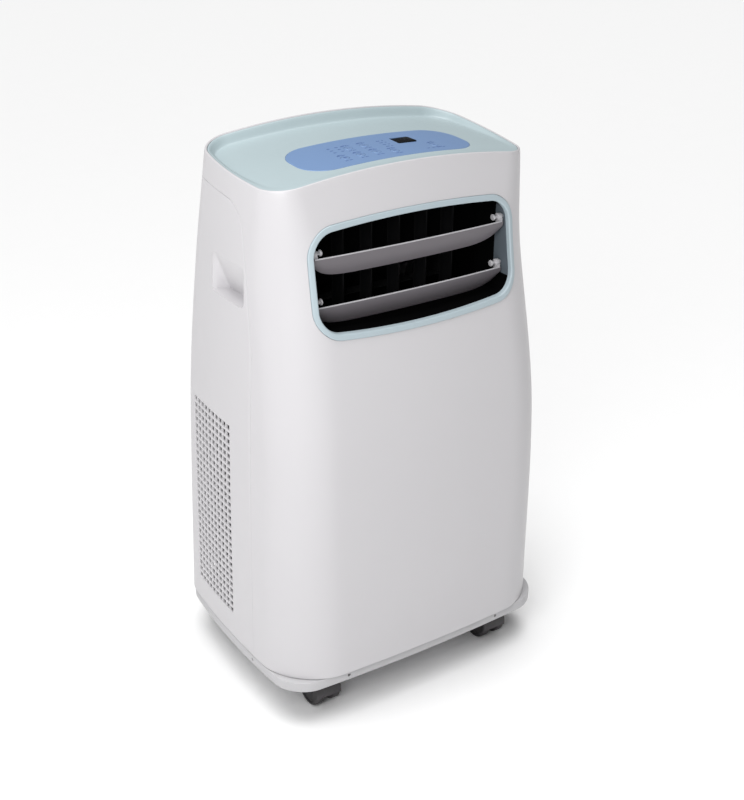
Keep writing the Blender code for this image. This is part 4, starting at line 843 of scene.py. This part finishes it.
def make_top_cover():
    """The dished cover: a lip inside the rim, a rounded wall down to the dish, and its floor."""
    inset = WALL + 0.00015
    wall_steps, floor_steps = 14, 26
    edge = cabinet_ring(RIM_Z, inset)

    def underside(x, y):
        return dish_height(x, y) - WALL

    def lip(x, y):
        return rim_height(x, y) - DISH_LIP

    rings = [scaled(edge, factor, underside) for factor in (0.08, 0.3, 0.5, 0.7, 0.85)]
    rings.append([(x, y, underside(x, y)) for x, y, _ in edge])
    rings.append([(x, y, lip(x, y) - 0.0008) for x, y, _ in edge])
    for step in range(wall_steps + 1):
        t = step / wall_steps
        fall = t * t * (3 - 2 * t)
        ring = cabinet_ring(RIM_Z, inset + 0.0006 + (DISH_EDGE - 0.003) * t)
        rings.append([(x, y, (1 - fall) * lip(x, y) + fall * dish_height(x, y)) for x, y, _ in ring])
    floor_edge = cabinet_ring(RIM_Z, DISH_EDGE)
    for step in range(floor_steps + 1):
        rings.append(scaled(floor_edge, 1 - 0.97 * step / floor_steps, dish_height))
    cover = loft("top_cover_fine", rings)
    cut(cover, prism("cut_control", control_outline(0.00025), 0.66, 0.80))
    place(cover, "cover", "cover_blue_grey", "cabinet", "top_cover", angle=40)


def control_outline(margin):
    return rounded_rectangle(PANEL_W / 2 + margin, PANEL_D / 2 + margin, PANEL_CORNER + margin,
                             (PANEL_X, PANEL_Y), 12, 0.0, 20)


def make_controls():
    """The blue overlay on the dish, with the display window, the keys and the printed marks."""
    outline = [(x, y, 0) for x, y in control_outline(0.0)]

    def top(x, y):
        return dish_height(x, y) + 0.0003

    def under(x, y):
        return dish_height(x, y) - PANEL_T + GAP

    rings = [scaled(outline, factor, under, PANEL_Y) for factor in (0.02, 0.5, 1.0)]
    for factor, drop in ((1.0, 0.00045), (0.998, 0.0002), (0.9955, 0.0)):
        rings.append(scaled(outline, factor, lambda x, y: top(x, y) - drop, PANEL_Y))
    rings += [scaled(outline, 0.995 - 0.975 * step / 18, top, PANEL_Y) for step in range(1, 19)]
    panel = loft("control_panel_fine", rings)
    x0, x1, y0, y1 = DISPLAY
    middle, half_x, half_y = ((x0 + x1) / 2, (y0 + y1) / 2), (x1 - x0) / 2, (y1 - y0) / 2
    cutters = [prism("cut_display", rounded_rectangle(half_x, half_y, 0.002, middle, 4), 0.69, 0.75)]
    for name, (x, y) in KEYS.items():
        cutters.append(rod(f"cut_{name}", KEY_R + 0.0002, -0.03, 0.03, (x, y, 0.715), "Z", 40))
    cut(panel, *cutters)
    place(panel, "overlay", "overlay_blue", "cabinet", "control_panel", angle=30)

    window = rounded_rectangle(half_x - 0.0002, half_y - 0.0002, 0.0018, middle, 4)
    glass_top = top(*middle) + 0.0001
    glass = prism("display_window_fine", window, glass_top - 0.003, glass_top, "Z", 0.0003)
    place(glass, "display", "display_smoke", "cabinet", "display_window")
    make_digits(*middle, glass_top)
    for name, (x, y) in KEYS.items():
        make_key(name, x, y)
    make_marks()


def flat_bars(name, bars, height, thick=0.00012):
    """Thin flat bars: (x, y, half length, half width, turn), each at height(x, y)."""
    mesh_data = bmesh.new()
    for x, y, half_x, half_y, turn in bars:
        at = Matrix.Translation((x, y, height(x, y))) @ Matrix.Rotation(turn, 4, "Z")
        size = Matrix.Diagonal((2 * half_x, 2 * half_y, thick, 1.0))
        bmesh.ops.create_cube(mesh_data, size=1.0, matrix=at @ size)
    return object_from(name, mesh_data)


def make_digits(x, y, z):
    """Two unlit seven-segment figures just under the gloss of the window."""
    wide, tall, thin, thick = 0.0026, 0.0034, 0.00042, 0.00006
    bars = []
    for centre in (x - 0.0048, x + 0.0048):
        bars += [(centre, y + row * 2 * tall, wide, thin, 0.0) for row in (-1, 0, 1)]
        for side in (-1, 1):
            upright = centre + side * (wide + 0.0006)
            bars += [(upright, y + row * tall, thin, tall - 0.0007, 0.0) for row in (-1, 1)]
    segments = flat_bars("display_segments", bars, lambda *_: z + thick / 2, thick)
    place(segments, "digits", "display_smoke", "cabinet")


def make_key(name, x, y):
    """A low round key cap with a flange below the panel, and its raised symbol."""
    top = dish_height(x, y) + 0.0007
    under = dish_height(x, y) - PANEL_T - 0.0014
    edge_r, edge_z = KEY_R - 0.0006, top - 0.0006
    profile = [(0.0003, under - 0.0010), (KEY_FLANGE_R - 0.0002, under - 0.0010),
               (KEY_FLANGE_R, under - 0.0007), (KEY_FLANGE_R, under - 0.0002), (KEY_R, under),
               (KEY_R, edge_z)]
    profile += [(edge_r + 0.0006 * cos, edge_z + 0.0004 * sin) for cos, sin in quarter_turn(5)]
    profile += [(KEY_R * share, top - 0.0002 + 0.0001 * (1 - share)) for share in (0.7, 0.4, 0.05)]
    cap = turned(f"{name}_cap", profile, (x, y, 0.0), "Z", 40)
    place(cap, "overlay", "overlay_blue", name, name)
    make_symbol(name, x, y, top - 0.00012)


def make_symbol(name, x, y, z):
    """A generic pictogram of bars for each key."""
    thin, upright = 0.00028, math.radians(90)
    spokes = [(0.0013 * math.cos(a), 0.0013 * math.sin(a), 0.0012, thin, a)
              for a in (math.radians(90 + 120 * i) for i in range(3))]
    shapes = {
        "key_mode": [(0, up, 0.002, thin, 0) for up in (0.0014, 0, -0.0014)],
        "key_fan": spokes,
        "key_timer": [(0, 0.0009, 0.0012, thin, upright), (0.0009, 0, 0.0011, thin, 0)],
        "key_swing": [(0, 0, 0.0021, thin, 0.5), (0, 0, 0.0021, thin, -0.5)],
        "key_up": [(-0.0009, 0, 0.0014, thin, 0.8), (0.0009, 0, 0.0014, thin, -0.8)],
        "key_down": [(-0.0009, 0, 0.0014, thin, -0.8), (0.0009, 0, 0.0014, thin, 0.8)],
        "key_power": [(0, 0.0006, 0.0014, thin, upright), (0, -0.0017, 0.0014, thin, 0)],
    }
    bars = [(x + dx, y + dy, long, wide, turn) for dx, dy, long, wide, turn in shapes[name]]
    symbol = flat_bars(f"{name}_symbol", bars, lambda *_: z + 0.00004)
    place(symbol, "marks", "key_grey", name)


def make_marks():
    """Printed marks round the keys: short rules and indicator dots, with no lettering."""
    below, above, over = -0.0098, 0.0088, 0.0108
    bars = []
    for x, y in KEYS.values():
        bars += [(x + dx, y + below, 0.0022, 0.0005, 0.0) for dx in (-0.0028, 0.0028)]
        bars += [(x + dx, y + above, 0.0026, 0.0005, 0.0) for dx in (-0.0034, 0.0034)]
        bars.append((x, y + over, 0.0040, 0.0004, 0.0))
    for column in range(3):
        for row in range(2):
            bars.append((-0.058 + 0.011 * row, -0.036 + 0.008 * column, 0.0020, 0.0007, 0.0))
    for row in range(4):
        bars.append((0.010, -0.046 + 0.0075 * row, 0.0024, 0.0006, 0.0))
        bars.append((0.0165, -0.046 + 0.0075 * row, 0.0012, 0.0006, 0.0))
    for column in range(4):
        bars.append((0.052 + 0.0075 * column, -0.0712, 0.0021, 0.0005, 0.0))
    marks = flat_bars("overlay_marks", bars, lambda x, y: dish_height(x, y) + 0.00034)
    place(marks, "marks", "overlay_blue", "cabinet")


# ---- Air outlet ----------------------------------------------------------------------

def make_outlet_frame():
    """The ring round the outlet with softly rounded edges, and the two cheeks behind it, darkened as
    painted shade.
    """
    foot = 0.0002
    profile = [(0.0, foot - RING_DEPTH), (0.0, foot)]
    profile += [(0.0013 * (1 - cos), foot + (RING_PROUD - foot) * sin) for cos, sin in quarter_turn(5, 0)]
    profile.append((RING_BAND * 0.5, RING_PROUD))
    profile += [(RING_BAND - 0.0022 * (1 - cos), RING_PROUD - 0.0024 * (1 - sin))
                for cos, sin in reversed(quarter_turn(6, 0))]
    profile.append((RING_BAND, foot - RING_DEPTH))
    rings = []
    for inset, proud in profile:
        places = [face_point(x, z, -1) for x, z in ring_outline(inset)]
        rings.append([(x, y - proud, z) for x, y, z in places])
    ring = loft("outlet_frame_fine", rings, closed=True)
    cut(ring, *pivot_cutters())
    place(ring, "ring", "ring_blue_grey", "cabinet", "outlet_frame", angle=38)
    heights = [CHEEK_HIGH + (CHEEK_LOW - CHEEK_HIGH) * step / 8 for step in range(9)]
    outline = [(CHEEK_BACK, CHEEK_LOW), (CHEEK_BACK, CHEEK_HIGH)]
    outline += [(face_point(CHEEK_X, z, -1)[1] + RING_DEPTH, z) for z in heights]
    for side, sign in SIDES:
        low, high = sorted((sign * CHEEK_X, sign * (CHEEK_X + CHEEK_T)))
        cheek = prism(f"outlet_cheek_{side}", outline, low, high, "X")
        cut(cheek, *pivot_cutters())
        place(cheek, "cheek", "ring_blue_grey", "cabinet")


def pivot_cutters():
    return [pin(f"cut_pivot_{name}", -0.144, 0.144, LOUVER_PIVOT_Y, z, PIVOT_R + 0.0002)
            for name, z in LOUVER_PIVOTS.items()]


def louver_bow(x):
    """How far the blade's upper edge stands forward of its ends, at x."""
    return LOUVER_BOW * (1 - (abs(x) / LOUVER_HALF) ** 2)


def louver_section(x, pivot_z):
    """Cross-section of the blade at x: rounded edges, a faint camber, narrower at its ends."""
    half_thick = LOUVER_T / 2
    forward = Vector((0, -math.sin(LOUVER_TILT), math.cos(LOUVER_TILT)))
    normal = Vector((0, -math.cos(LOUVER_TILT), -math.sin(LOUVER_TILT)))
    top = Vector((x, LOUVER_PIVOT_Y - EDGE_BEFORE_PIVOT - louver_bow(x), pivot_z - EDGE_BELOW_PIVOT))
    width = LOUVER_WIDTH * (1 - LOUVER_TAPER * (abs(x) / LOUVER_HALF) ** TAPER_POWER)
    steps, end_steps = 10, 6
    points = []
    for face in (1, -1):
        for step in range(steps + 1):
            t = step / steps if face > 0 else 1 - step / steps
            camber = 0.0012 * math.sin(math.pi * t)
            down = half_thick + (width - 2 * half_thick) * t
            points.append(top - forward * down + normal * (camber + face * half_thick))
        centre = top - forward * (width - half_thick if face > 0 else half_thick)
        for step in range(1, end_steps):
            turn = math.pi * step / end_steps
            across, outward = half_thick * math.cos(turn), half_thick * math.sin(turn)
            points.append(centre - forward * face * outward + normal * face * across)
    return points


def make_louver(name, pivot_z):
    """A blade coloured darker than its own light grey plastic as painted shade, a light edge bead as a
    painted highlight, and a lug at each end, all riding on the louver.
    """
    stations = [math.sin(math.radians(90 * i / 32)) * LOUVER_HALF for i in range(-32, 33)]
    blade = loft(f"{name}_blade", [louver_section(x, pivot_z) for x in stations])
    place(blade, "louver", "louver_grey", name, name, angle=50)
    make_painted_highlight_bead(name, pivot_z, stations)
    for side, sign in SIDES:
        make_lug(name, side, sign, pivot_z)


def make_painted_highlight_bead(name, pivot_z, stations):
    """A light bead along the blade's upper edge, a painted highlight where the edge catches the light."""
    radius = 0.0009
    rings = []
    for x in stations[3:-3]:
        y, z = LOUVER_PIVOT_Y - EDGE_BEFORE_PIVOT - louver_bow(x), pivot_z - EDGE_BELOW_PIVOT
        rings.append([(x, y + radius * math.cos(a) + 0.0001, z + radius * math.sin(a) - 0.0002)
                      for a in (2 * math.pi * i / 12 for i in range(12))])
    place(loft(f"{name}_painted_highlight_bead", rings), "lug", "louver_grey", name, angle=60)


def make_lug(name, side, sign, pivot_z):
    """The round boss at the blade's end with its pivot pin, and the crank arm on the left one."""
    top_y, top_z = LOUVER_PIVOT_Y - EDGE_BEFORE_PIVOT, pivot_z - EDGE_BELOW_PIVOT
    low, high = sorted((sign * EAR_INNER, sign * EAR_OUTER))
    head = [(LOUVER_PIVOT_Y + 0.0045 * math.cos(a), pivot_z + 0.0045 * math.sin(a))
            for a in (math.radians(215 - 245 * i / 16) for i in range(17))]
    outline = head + [(top_y + 0.0042, top_z - 0.0085), (top_y + 0.0002, top_z - 0.0005)]
    ear = prism(f"{name}_lug_{side}", outline, low, high, "X", 0.0009)
    reach = 0.152 if side == "left" and name == "louver_lower" else 0.1435
    low, high = sorted((sign * PIVOT_INNER, sign * reach))
    join(ear, pin("cut_pin", low, high, LOUVER_PIVOT_Y, pivot_z, PIVOT_R))
    low, high = sorted((sign * (PIVOT_INNER - 0.0004), sign * (PIVOT_INNER + 0.0022)))
    join(ear, pin("cut_head", low, high, LOUVER_PIVOT_Y, pivot_z, PIVOT_R + 0.0016, 0.0006))
    if side == "left":
        crank_y, crank_z = LOUVER_PIVOT_Y + CRANK_BACK, pivot_z - CRANK_DOWN
        arm = [(LOUVER_PIVOT_Y - 0.002, pivot_z - 0.0045), (LOUVER_PIVOT_Y - 0.002, pivot_z + 0.0030),
               (crank_y + 0.0030, crank_z + 0.0030), (crank_y + 0.0030, crank_z - 0.0030)]
        join(ear, prism("cut_arm", arm, ARM_OUTER, ARM_INNER, "X"),
             pin("cut_crank", -EAR_OUTER, ARM_INNER - 0.0005, crank_y, crank_z, PIN_R))
    place(ear, "lug", "louver_grey", name)


def make_vanes():
    """Five upright blades, each with its two pivot pins and a crank pin for the link."""
    middle = (VANE_LOW + VANE_HIGH) / 2
    outline = opening((VANE_BACK - VANE_FRONT) / 2, VANE_LOW, VANE_HIGH, 0.0, 0.006,
                      (VANE_BACK + VANE_FRONT) / 2, steps=6)
    for number, x in enumerate(VANE_X, 1):
        blade = prism(f"vane_{number}_blade", outline, x - VANE_T / 2, x + VANE_T / 2, "X", 0.0006)
        at = (x, VANE_PIVOT_Y, middle)
        join(blade, rod("cut_vane_pin", PIN_R, -VANE_PIN_HALF, VANE_PIN_HALF, at, "Z", 20))
        at = (x, VANE_PIVOT_Y - VANE_CRANK, 0)
        join(blade, rod("cut_vane_crank", PIN_R, VANE_LOW - 0.0045, VANE_LOW + 0.0065, at, "Z", 20))
        place(blade, "vane", "black_plastic", f"vane_{number}", f"vane_{number}")


# ---- Base and casters ----------------------------------------------------------------

def base_ring(z, inset):
    """One ring of the tray: the cabinet's foot, squarer at its corners and set a little forward."""
    width, depth, y_mid, _, _, bow, back_bow = section_at(SEAM_Z)
    half_w, half_d = width / 2 - BASE_SIDE_INSET - inset, depth / 2 - BASE_END_INSET - inset
    ring = []
    for x, y in rounded_rectangle(half_w, half_d, BASE_CORNER - inset, (0, 0), 14, 0.0, 30):
        x, y = bowed(x, y, half_w, half_d, back_bow if y > 0 else bow)
        ring.append((x, y + y_mid - BASE_FORWARD, z))
    return ring


def make_base():
    """The tray: a rounded lower edge, an open pan under the shell, caster bosses and screw holes."""
    profile = [(BASE_LOW, 0.0080), (BASE_LOW, BASE_EDGE_R)]
    profile += [(BASE_LOW + BASE_EDGE_R * (1 - cos), BASE_EDGE_R * (1 - sin))
                for cos, sin in quarter_turn(6)]
    profile += [(BASE_TOP - 0.0010, 0.0), (BASE_TOP - 0.0003, 0.0003), (BASE_TOP, 0.0010)]
    tray = loft("base_tray_fine", [base_ring(z, inset) for z, inset in profile])
    pan = loft("cut_pan", [base_ring(BASE_FLOOR, WALL + 0.001), base_ring(BASE_TOP + 0.01, WALL)])
    ledge = 0.008
    shell_line = outline_at(SEAM_Z, ledge)
    under_shell = [[(x, y, z) for x, y in shell_line] for z in (BASE_FLOOR - 0.01, BASE_TOP + 0.02)]
    keep(pan, loft("cut_under_shell", under_shell))
    cut(tray, pan)
    boss = [(0.0105, BASE_LOW + 0.0005), (0.0105, 0.0782), (0.0098, 0.079)]
    for x, y in caster_places():
        join(tray, turned("cut_boss", boss, (x, y, 0), "Z", 40))
        cut(tray, rod("cut_bore", STEM_R + GAP, 0.040, 0.0762, (x, y, 0)))
    for sign in (-1, 1):
        for x, y, axis in ((0.2125, -0.066, "X"), (0.121, -0.1637, "Y")):
            cut(tray, rod("cut_screw", 0.0024, -0.004, 0.004, (sign * x, y, 0.0628), axis, 20))
    place(tray, "base", "panel_grey", "cabinet", "base_tray", angle=38)


def caster_places():
    """Front left, front right, rear left, rear right."""
    return [(side * CASTER_X, y) for y in (CASTER_FRONT, CASTER_REAR) for side in (-1, 1)]


def make_hood(number, x, y, axle):
    """The swivelling half-round hood with a centre web and the stem."""
    soft, axle_y = 0.0016, axle[1]
    profile = [(HOOD_R - soft, -HOOD_HALF)]
    profile += [(HOOD_R - soft + soft * sin, -HOOD_HALF + soft * (1 - cos))
                for cos, sin in quarter_turn(5)]
    profile += mirrored(profile)
    hood = turned(f"caster_hood_{number}_fine", profile, axle, "X", 72)
    cutters = [box("cut_low", (x - 0.05, axle_y - 0.05, -0.01), (x + 0.05, axle_y + 0.05, WHEEL_R - 0.004))]
    for sign in (-1, 1):
        low, high = sorted((sign * WEB_HALF, sign * 0.06))
        cutters.append(rod(f"cut_well_{sign}", HOOD_WELL_R, low, high, axle, "X", 72))
    cut(hood, *cutters)
    web_low = (x - WEB_HALF, axle_y - 0.014, WHEEL_R - 0.008)
    web_high = (x + WEB_HALF, axle_y + 0.014, WHEEL_R + 0.02)
    stem = [(STEM_R, 0.045), (STEM_R, 0.0742), (STEM_R - 0.0008, 0.075)]
    join(hood, box("cut_web", web_low, web_high, 0.001), turned("cut_stem", stem, (x, y, 0), "Z", 32))
    cut(hood, pin("cut_axle", x - 0.015, x + 0.015, axle_y, WHEEL_R, AXLE_R + GAP))
    place(hood, "caster", "black_plastic", f"caster_{number}", f"caster_hood_{number}", angle=36)


def wheel_profile():
    """One wheel, from its inner hub over the rounded tread to its dished outer face."""
    inner, outer = WHEEL_INNER, WHEEL_OUTER
    inner_r, outer_r = 0.0018, 0.0020
    profile = [(0.0010, inner + 0.0030), (0.006, inner + 0.0030), (0.0075, inner + 0.0005),
               (WHEEL_R - 0.0045, inner), (WHEEL_R - inner_r, inner + 0.0004)]
    profile += [(WHEEL_R - inner_r + inner_r * sin, inner + 0.0004 + inner_r * (1 - cos))
                for cos, sin in quarter_turn(5)]
    profile.append((WHEEL_R, outer - 0.0022))
    profile += [(WHEEL_R - outer_r * (1 - cos), outer - 0.0022 + outer_r * sin)
                for cos, sin in quarter_turn(5)]
    return profile + [(WHEEL_R - 0.0042, outer - 0.0002), (WHEEL_R - 0.0050, outer - 0.0016),
                      (0.0105, outer - 0.0022), (0.0096, outer - 0.0008), (0.0060, outer - 0.0004),
                      (0.0010, outer - 0.0004)]


def make_caster(number, x, y):
    """A hood, and two wheels on one axle behind the stem."""
    axle = (x, y + CASTER_TRAIL, WHEEL_R)
    make_hood(number, x, y, axle)
    wheels = pin(f"caster_wheels_{number}_fine", x - 0.0163, x + 0.0163, axle[1], WHEEL_R, AXLE_R)
    for wheel in (mirrored(wheel_profile()), wheel_profile()):
        join(wheels, turned("cut_wheel", wheel, axle, "X", 64))
    place(wheels, "tyre", "dark_rubber", f"wheels_{number}", f"caster_wheels_{number}", angle=36)


# ---- Rear pieces ---------------------------------------------------------------------

def make_rear_grille():
    """Intake grille: three columns of narrow louvre slots in a rounded panel."""
    rows, columns, slot, rib, margin, slot_steps = 17, 3, 0.0062, 0.0080, 0.011, 6
    width = (2 * (GRILLE_HALF - margin) - (columns - 1) * rib) / columns
    xs, x_opens = [-GRILLE_HALF, -GRILLE_HALF + margin / 2], [False, False]
    for column in range(columns):
        start = -GRILLE_HALF + margin + column * (width + rib)
        xs += [start + width * step / slot_steps for step in range(slot_steps + 1)]
        x_opens += [True] * slot_steps + [False]
    xs += [GRILLE_HALF - margin / 2, GRILLE_HALF]
    x_opens.append(False)
    slots = openings(GRILLE_LOW + margin, GRILLE_HIGH - margin, rows, slot)
    zs = [GRILLE_LOW, GRILLE_LOW + margin / 2] + [z for z, _ in slots]
    zs += [GRILLE_HIGH - margin / 2, GRILLE_HIGH]
    z_opens = [False, False] + [opens for _, opens in slots] + [False, False]
    points = [[face_point(x, z, 1) for x in xs][::-1] for z in zs]
    x_opens = x_opens[::-1]
    grille = grid_skin("rear_grille_fine", points, lambda r, c: z_opens[r] and x_opens[c])
    thicken(grille, WALL)
    soften(grille, 0.0004)
    keep(grille, prism("cut_grille_edge", grille_outline(-0.0001), 0.03, FAR, "Y"))
    place(grille, "rear", "panel_grey", "rear_grille", "rear_grille")


def make_exhaust_collar():
    """The round exhaust collar, with its flange at the rear end."""
    rear = COLLAR_REAR
    profile = [(COLLAR_BORE, COLLAR_FRONT), (COLLAR_BORE, rear - 0.0010), (COLLAR_BORE + 0.0010, rear),
               (COLLAR_FLANGE - 0.0015, rear), (COLLAR_FLANGE - 0.0004, rear - 0.0004),
               (COLLAR_FLANGE, rear - 0.0015), (COLLAR_FLANGE, rear - 0.0120),
               (COLLAR_R + 0.0008, rear - 0.0128), (COLLAR_R, rear - 0.0140), (COLLAR_R, COLLAR_FRONT)]
    collar = turned("exhaust_collar_fine", profile, (0, 0, COLLAR_Z), "Y", 128, closed=True)
    place(collar, "rear", "panel_grey", "cabinet", "exhaust_collar")


def make_plugs_and_gland():
    """Two push-in drain plugs, and the bushing where the cord would leave the back."""
    plug_profile = [(0.0004, -0.0158), (DRAIN_R - 0.0018, -0.0158), (DRAIN_R - 0.0010, -0.0150),
                    (DRAIN_R - 0.0004, 0.0006), (0.0090, 0.0006), (0.0095, 0.0010), (0.0095, 0.0022),
                    (0.0088, 0.0029), (0.0035, 0.0029), (0.0030, 0.0022), (0.0004, 0.0020)]
    for name, (x, z) in DRAINS.items():
        plug = turned(f"{name}_fine", plug_profile, (x, face_point(x, z, 1)[1], z), "Y", 40)
        place(plug, "rubber", "dark_rubber", name, name)
    x, z = GLAND_AT
    gland_profile = [(0.0055, -0.0140), (0.0055, 0.0024), (0.0061, 0.0030), (0.0104, 0.0030),
                     (0.0110, 0.0024), (0.0110, 0.0008), (GLAND_R, 0.0006), (GLAND_R - 0.0006, -0.0140)]
    at = (x, face_point(x, z, 1)[1], z)
    gland = turned("cord_gland_fine", gland_profile, at, "Y", 40, closed=True)
    place(gland, "black", "black_plastic", "cabinet", "cord_gland")


# ---- Build ---------------------------------------------------------------------------

make_front_shell()
for side_name, side_sign in SIDES:
    make_side_panel(side_name, side_sign)
    make_grip(side_name, side_sign)
make_rear_panel()
make_top_cover()
make_controls()
make_outlet_frame()
for louver_name, louver_z in LOUVER_PIVOTS.items():
    make_louver(louver_name, louver_z)
make_vanes()
make_base()
for caster_number, (caster_x, caster_y) in enumerate(caster_places(), 1):
    make_caster(caster_number, caster_x, caster_y)
make_rear_grille()
make_exhaust_collar()
make_plugs_and_gland()

carry("inside", "outlet_duct")
carry("black", "louver_link", "vane_link", "condenser_wheel", "evaporator_wheel")
carry("filter", "air_filter")
carry("zinc", "swing_motor", "condenser_motor", "evaporator_motor", "electrical_box")
carry("fins", "condenser_coil", "evaporator_coil")
carry("copper", "discharge_pipe", "suction_pipe")
carry("compressor", "compressor", "accumulator")
carry("board", "control_board")
carry("scroll", "condenser_scroll", "evaporator_scroll", "middle_deck")


# ---- Floor, light and camera ---------------------------------------------------------

def make_floor():
    mesh_data = bmesh.new()
    bmesh.ops.create_grid(mesh_data, x_segments=2, y_segments=2, size=80.0)
    floor = object_from("floor", mesh_data)
    material = moulded("floor_pale", (0.95, 0.95, 0.95), 0.7, 0.05, 60.0, 0.0001, 0.003)
    floor.data.materials.append(material)


def aim(light, name, place_at, target):
    lamp = bpy.data.objects.new(name, light)
    lamp.location = place_at
    lamp.rotation_euler = (Vector(target) - Vector(place_at)).to_track_quat("-Z", "Y").to_euler()
    SCENE.objects.link(lamp)


def make_lights():
    """A near softbox at the front left, and a broad even light from above."""
    key = bpy.data.lights.new("key", "AREA")
    key.shape = "SQUARE"
    key.size = 0.7
    key.energy = 10.5
    aim(key, "key", (-0.93, -0.80, 1.05), (0.0, 0.0, 0.45))
    above = bpy.data.lights.new("above", "SUN")
    above.energy = 2.75
    above.angle = math.radians(50)
    aim(above, "above", (-0.15, 0.15, 3.0), (0.0, 0.0, 0.0))


def make_world(strength):
    world = bpy.data.worlds.new("studio")
    world.use_nodes = True
    background = world.node_tree.nodes["Background"]
    background.inputs["Color"].default_value = (1.0, 1.0, 1.0, 1.0)
    background.inputs["Strength"].default_value = strength
    bpy.context.scene.world = world


def make_camera():
    """Seen from the front left and above, as a long lens sees it."""
    data = bpy.data.cameras.new("camera")
    data.lens, data.sensor_width = 55.44, 36.0
    camera = bpy.data.objects.new("camera", data)
    eye = (-0.8052, -1.2632, 1.0944)
    right = Vector((0.83860, -0.54473, 0.00429))
    up = Vector((0.23524, 0.36922, 0.89908))
    back = right.cross(up)
    turn = Matrix((right, up, back)).transposed().to_4x4()
    camera.matrix_world = Matrix.Translation(eye) @ turn
    SCENE.objects.link(camera)
    bpy.context.scene.camera = camera


make_floor()
make_world(strength=0.15)
make_lights()
make_camera()
bpy.context.scene.view_settings.view_transform = "Standard"
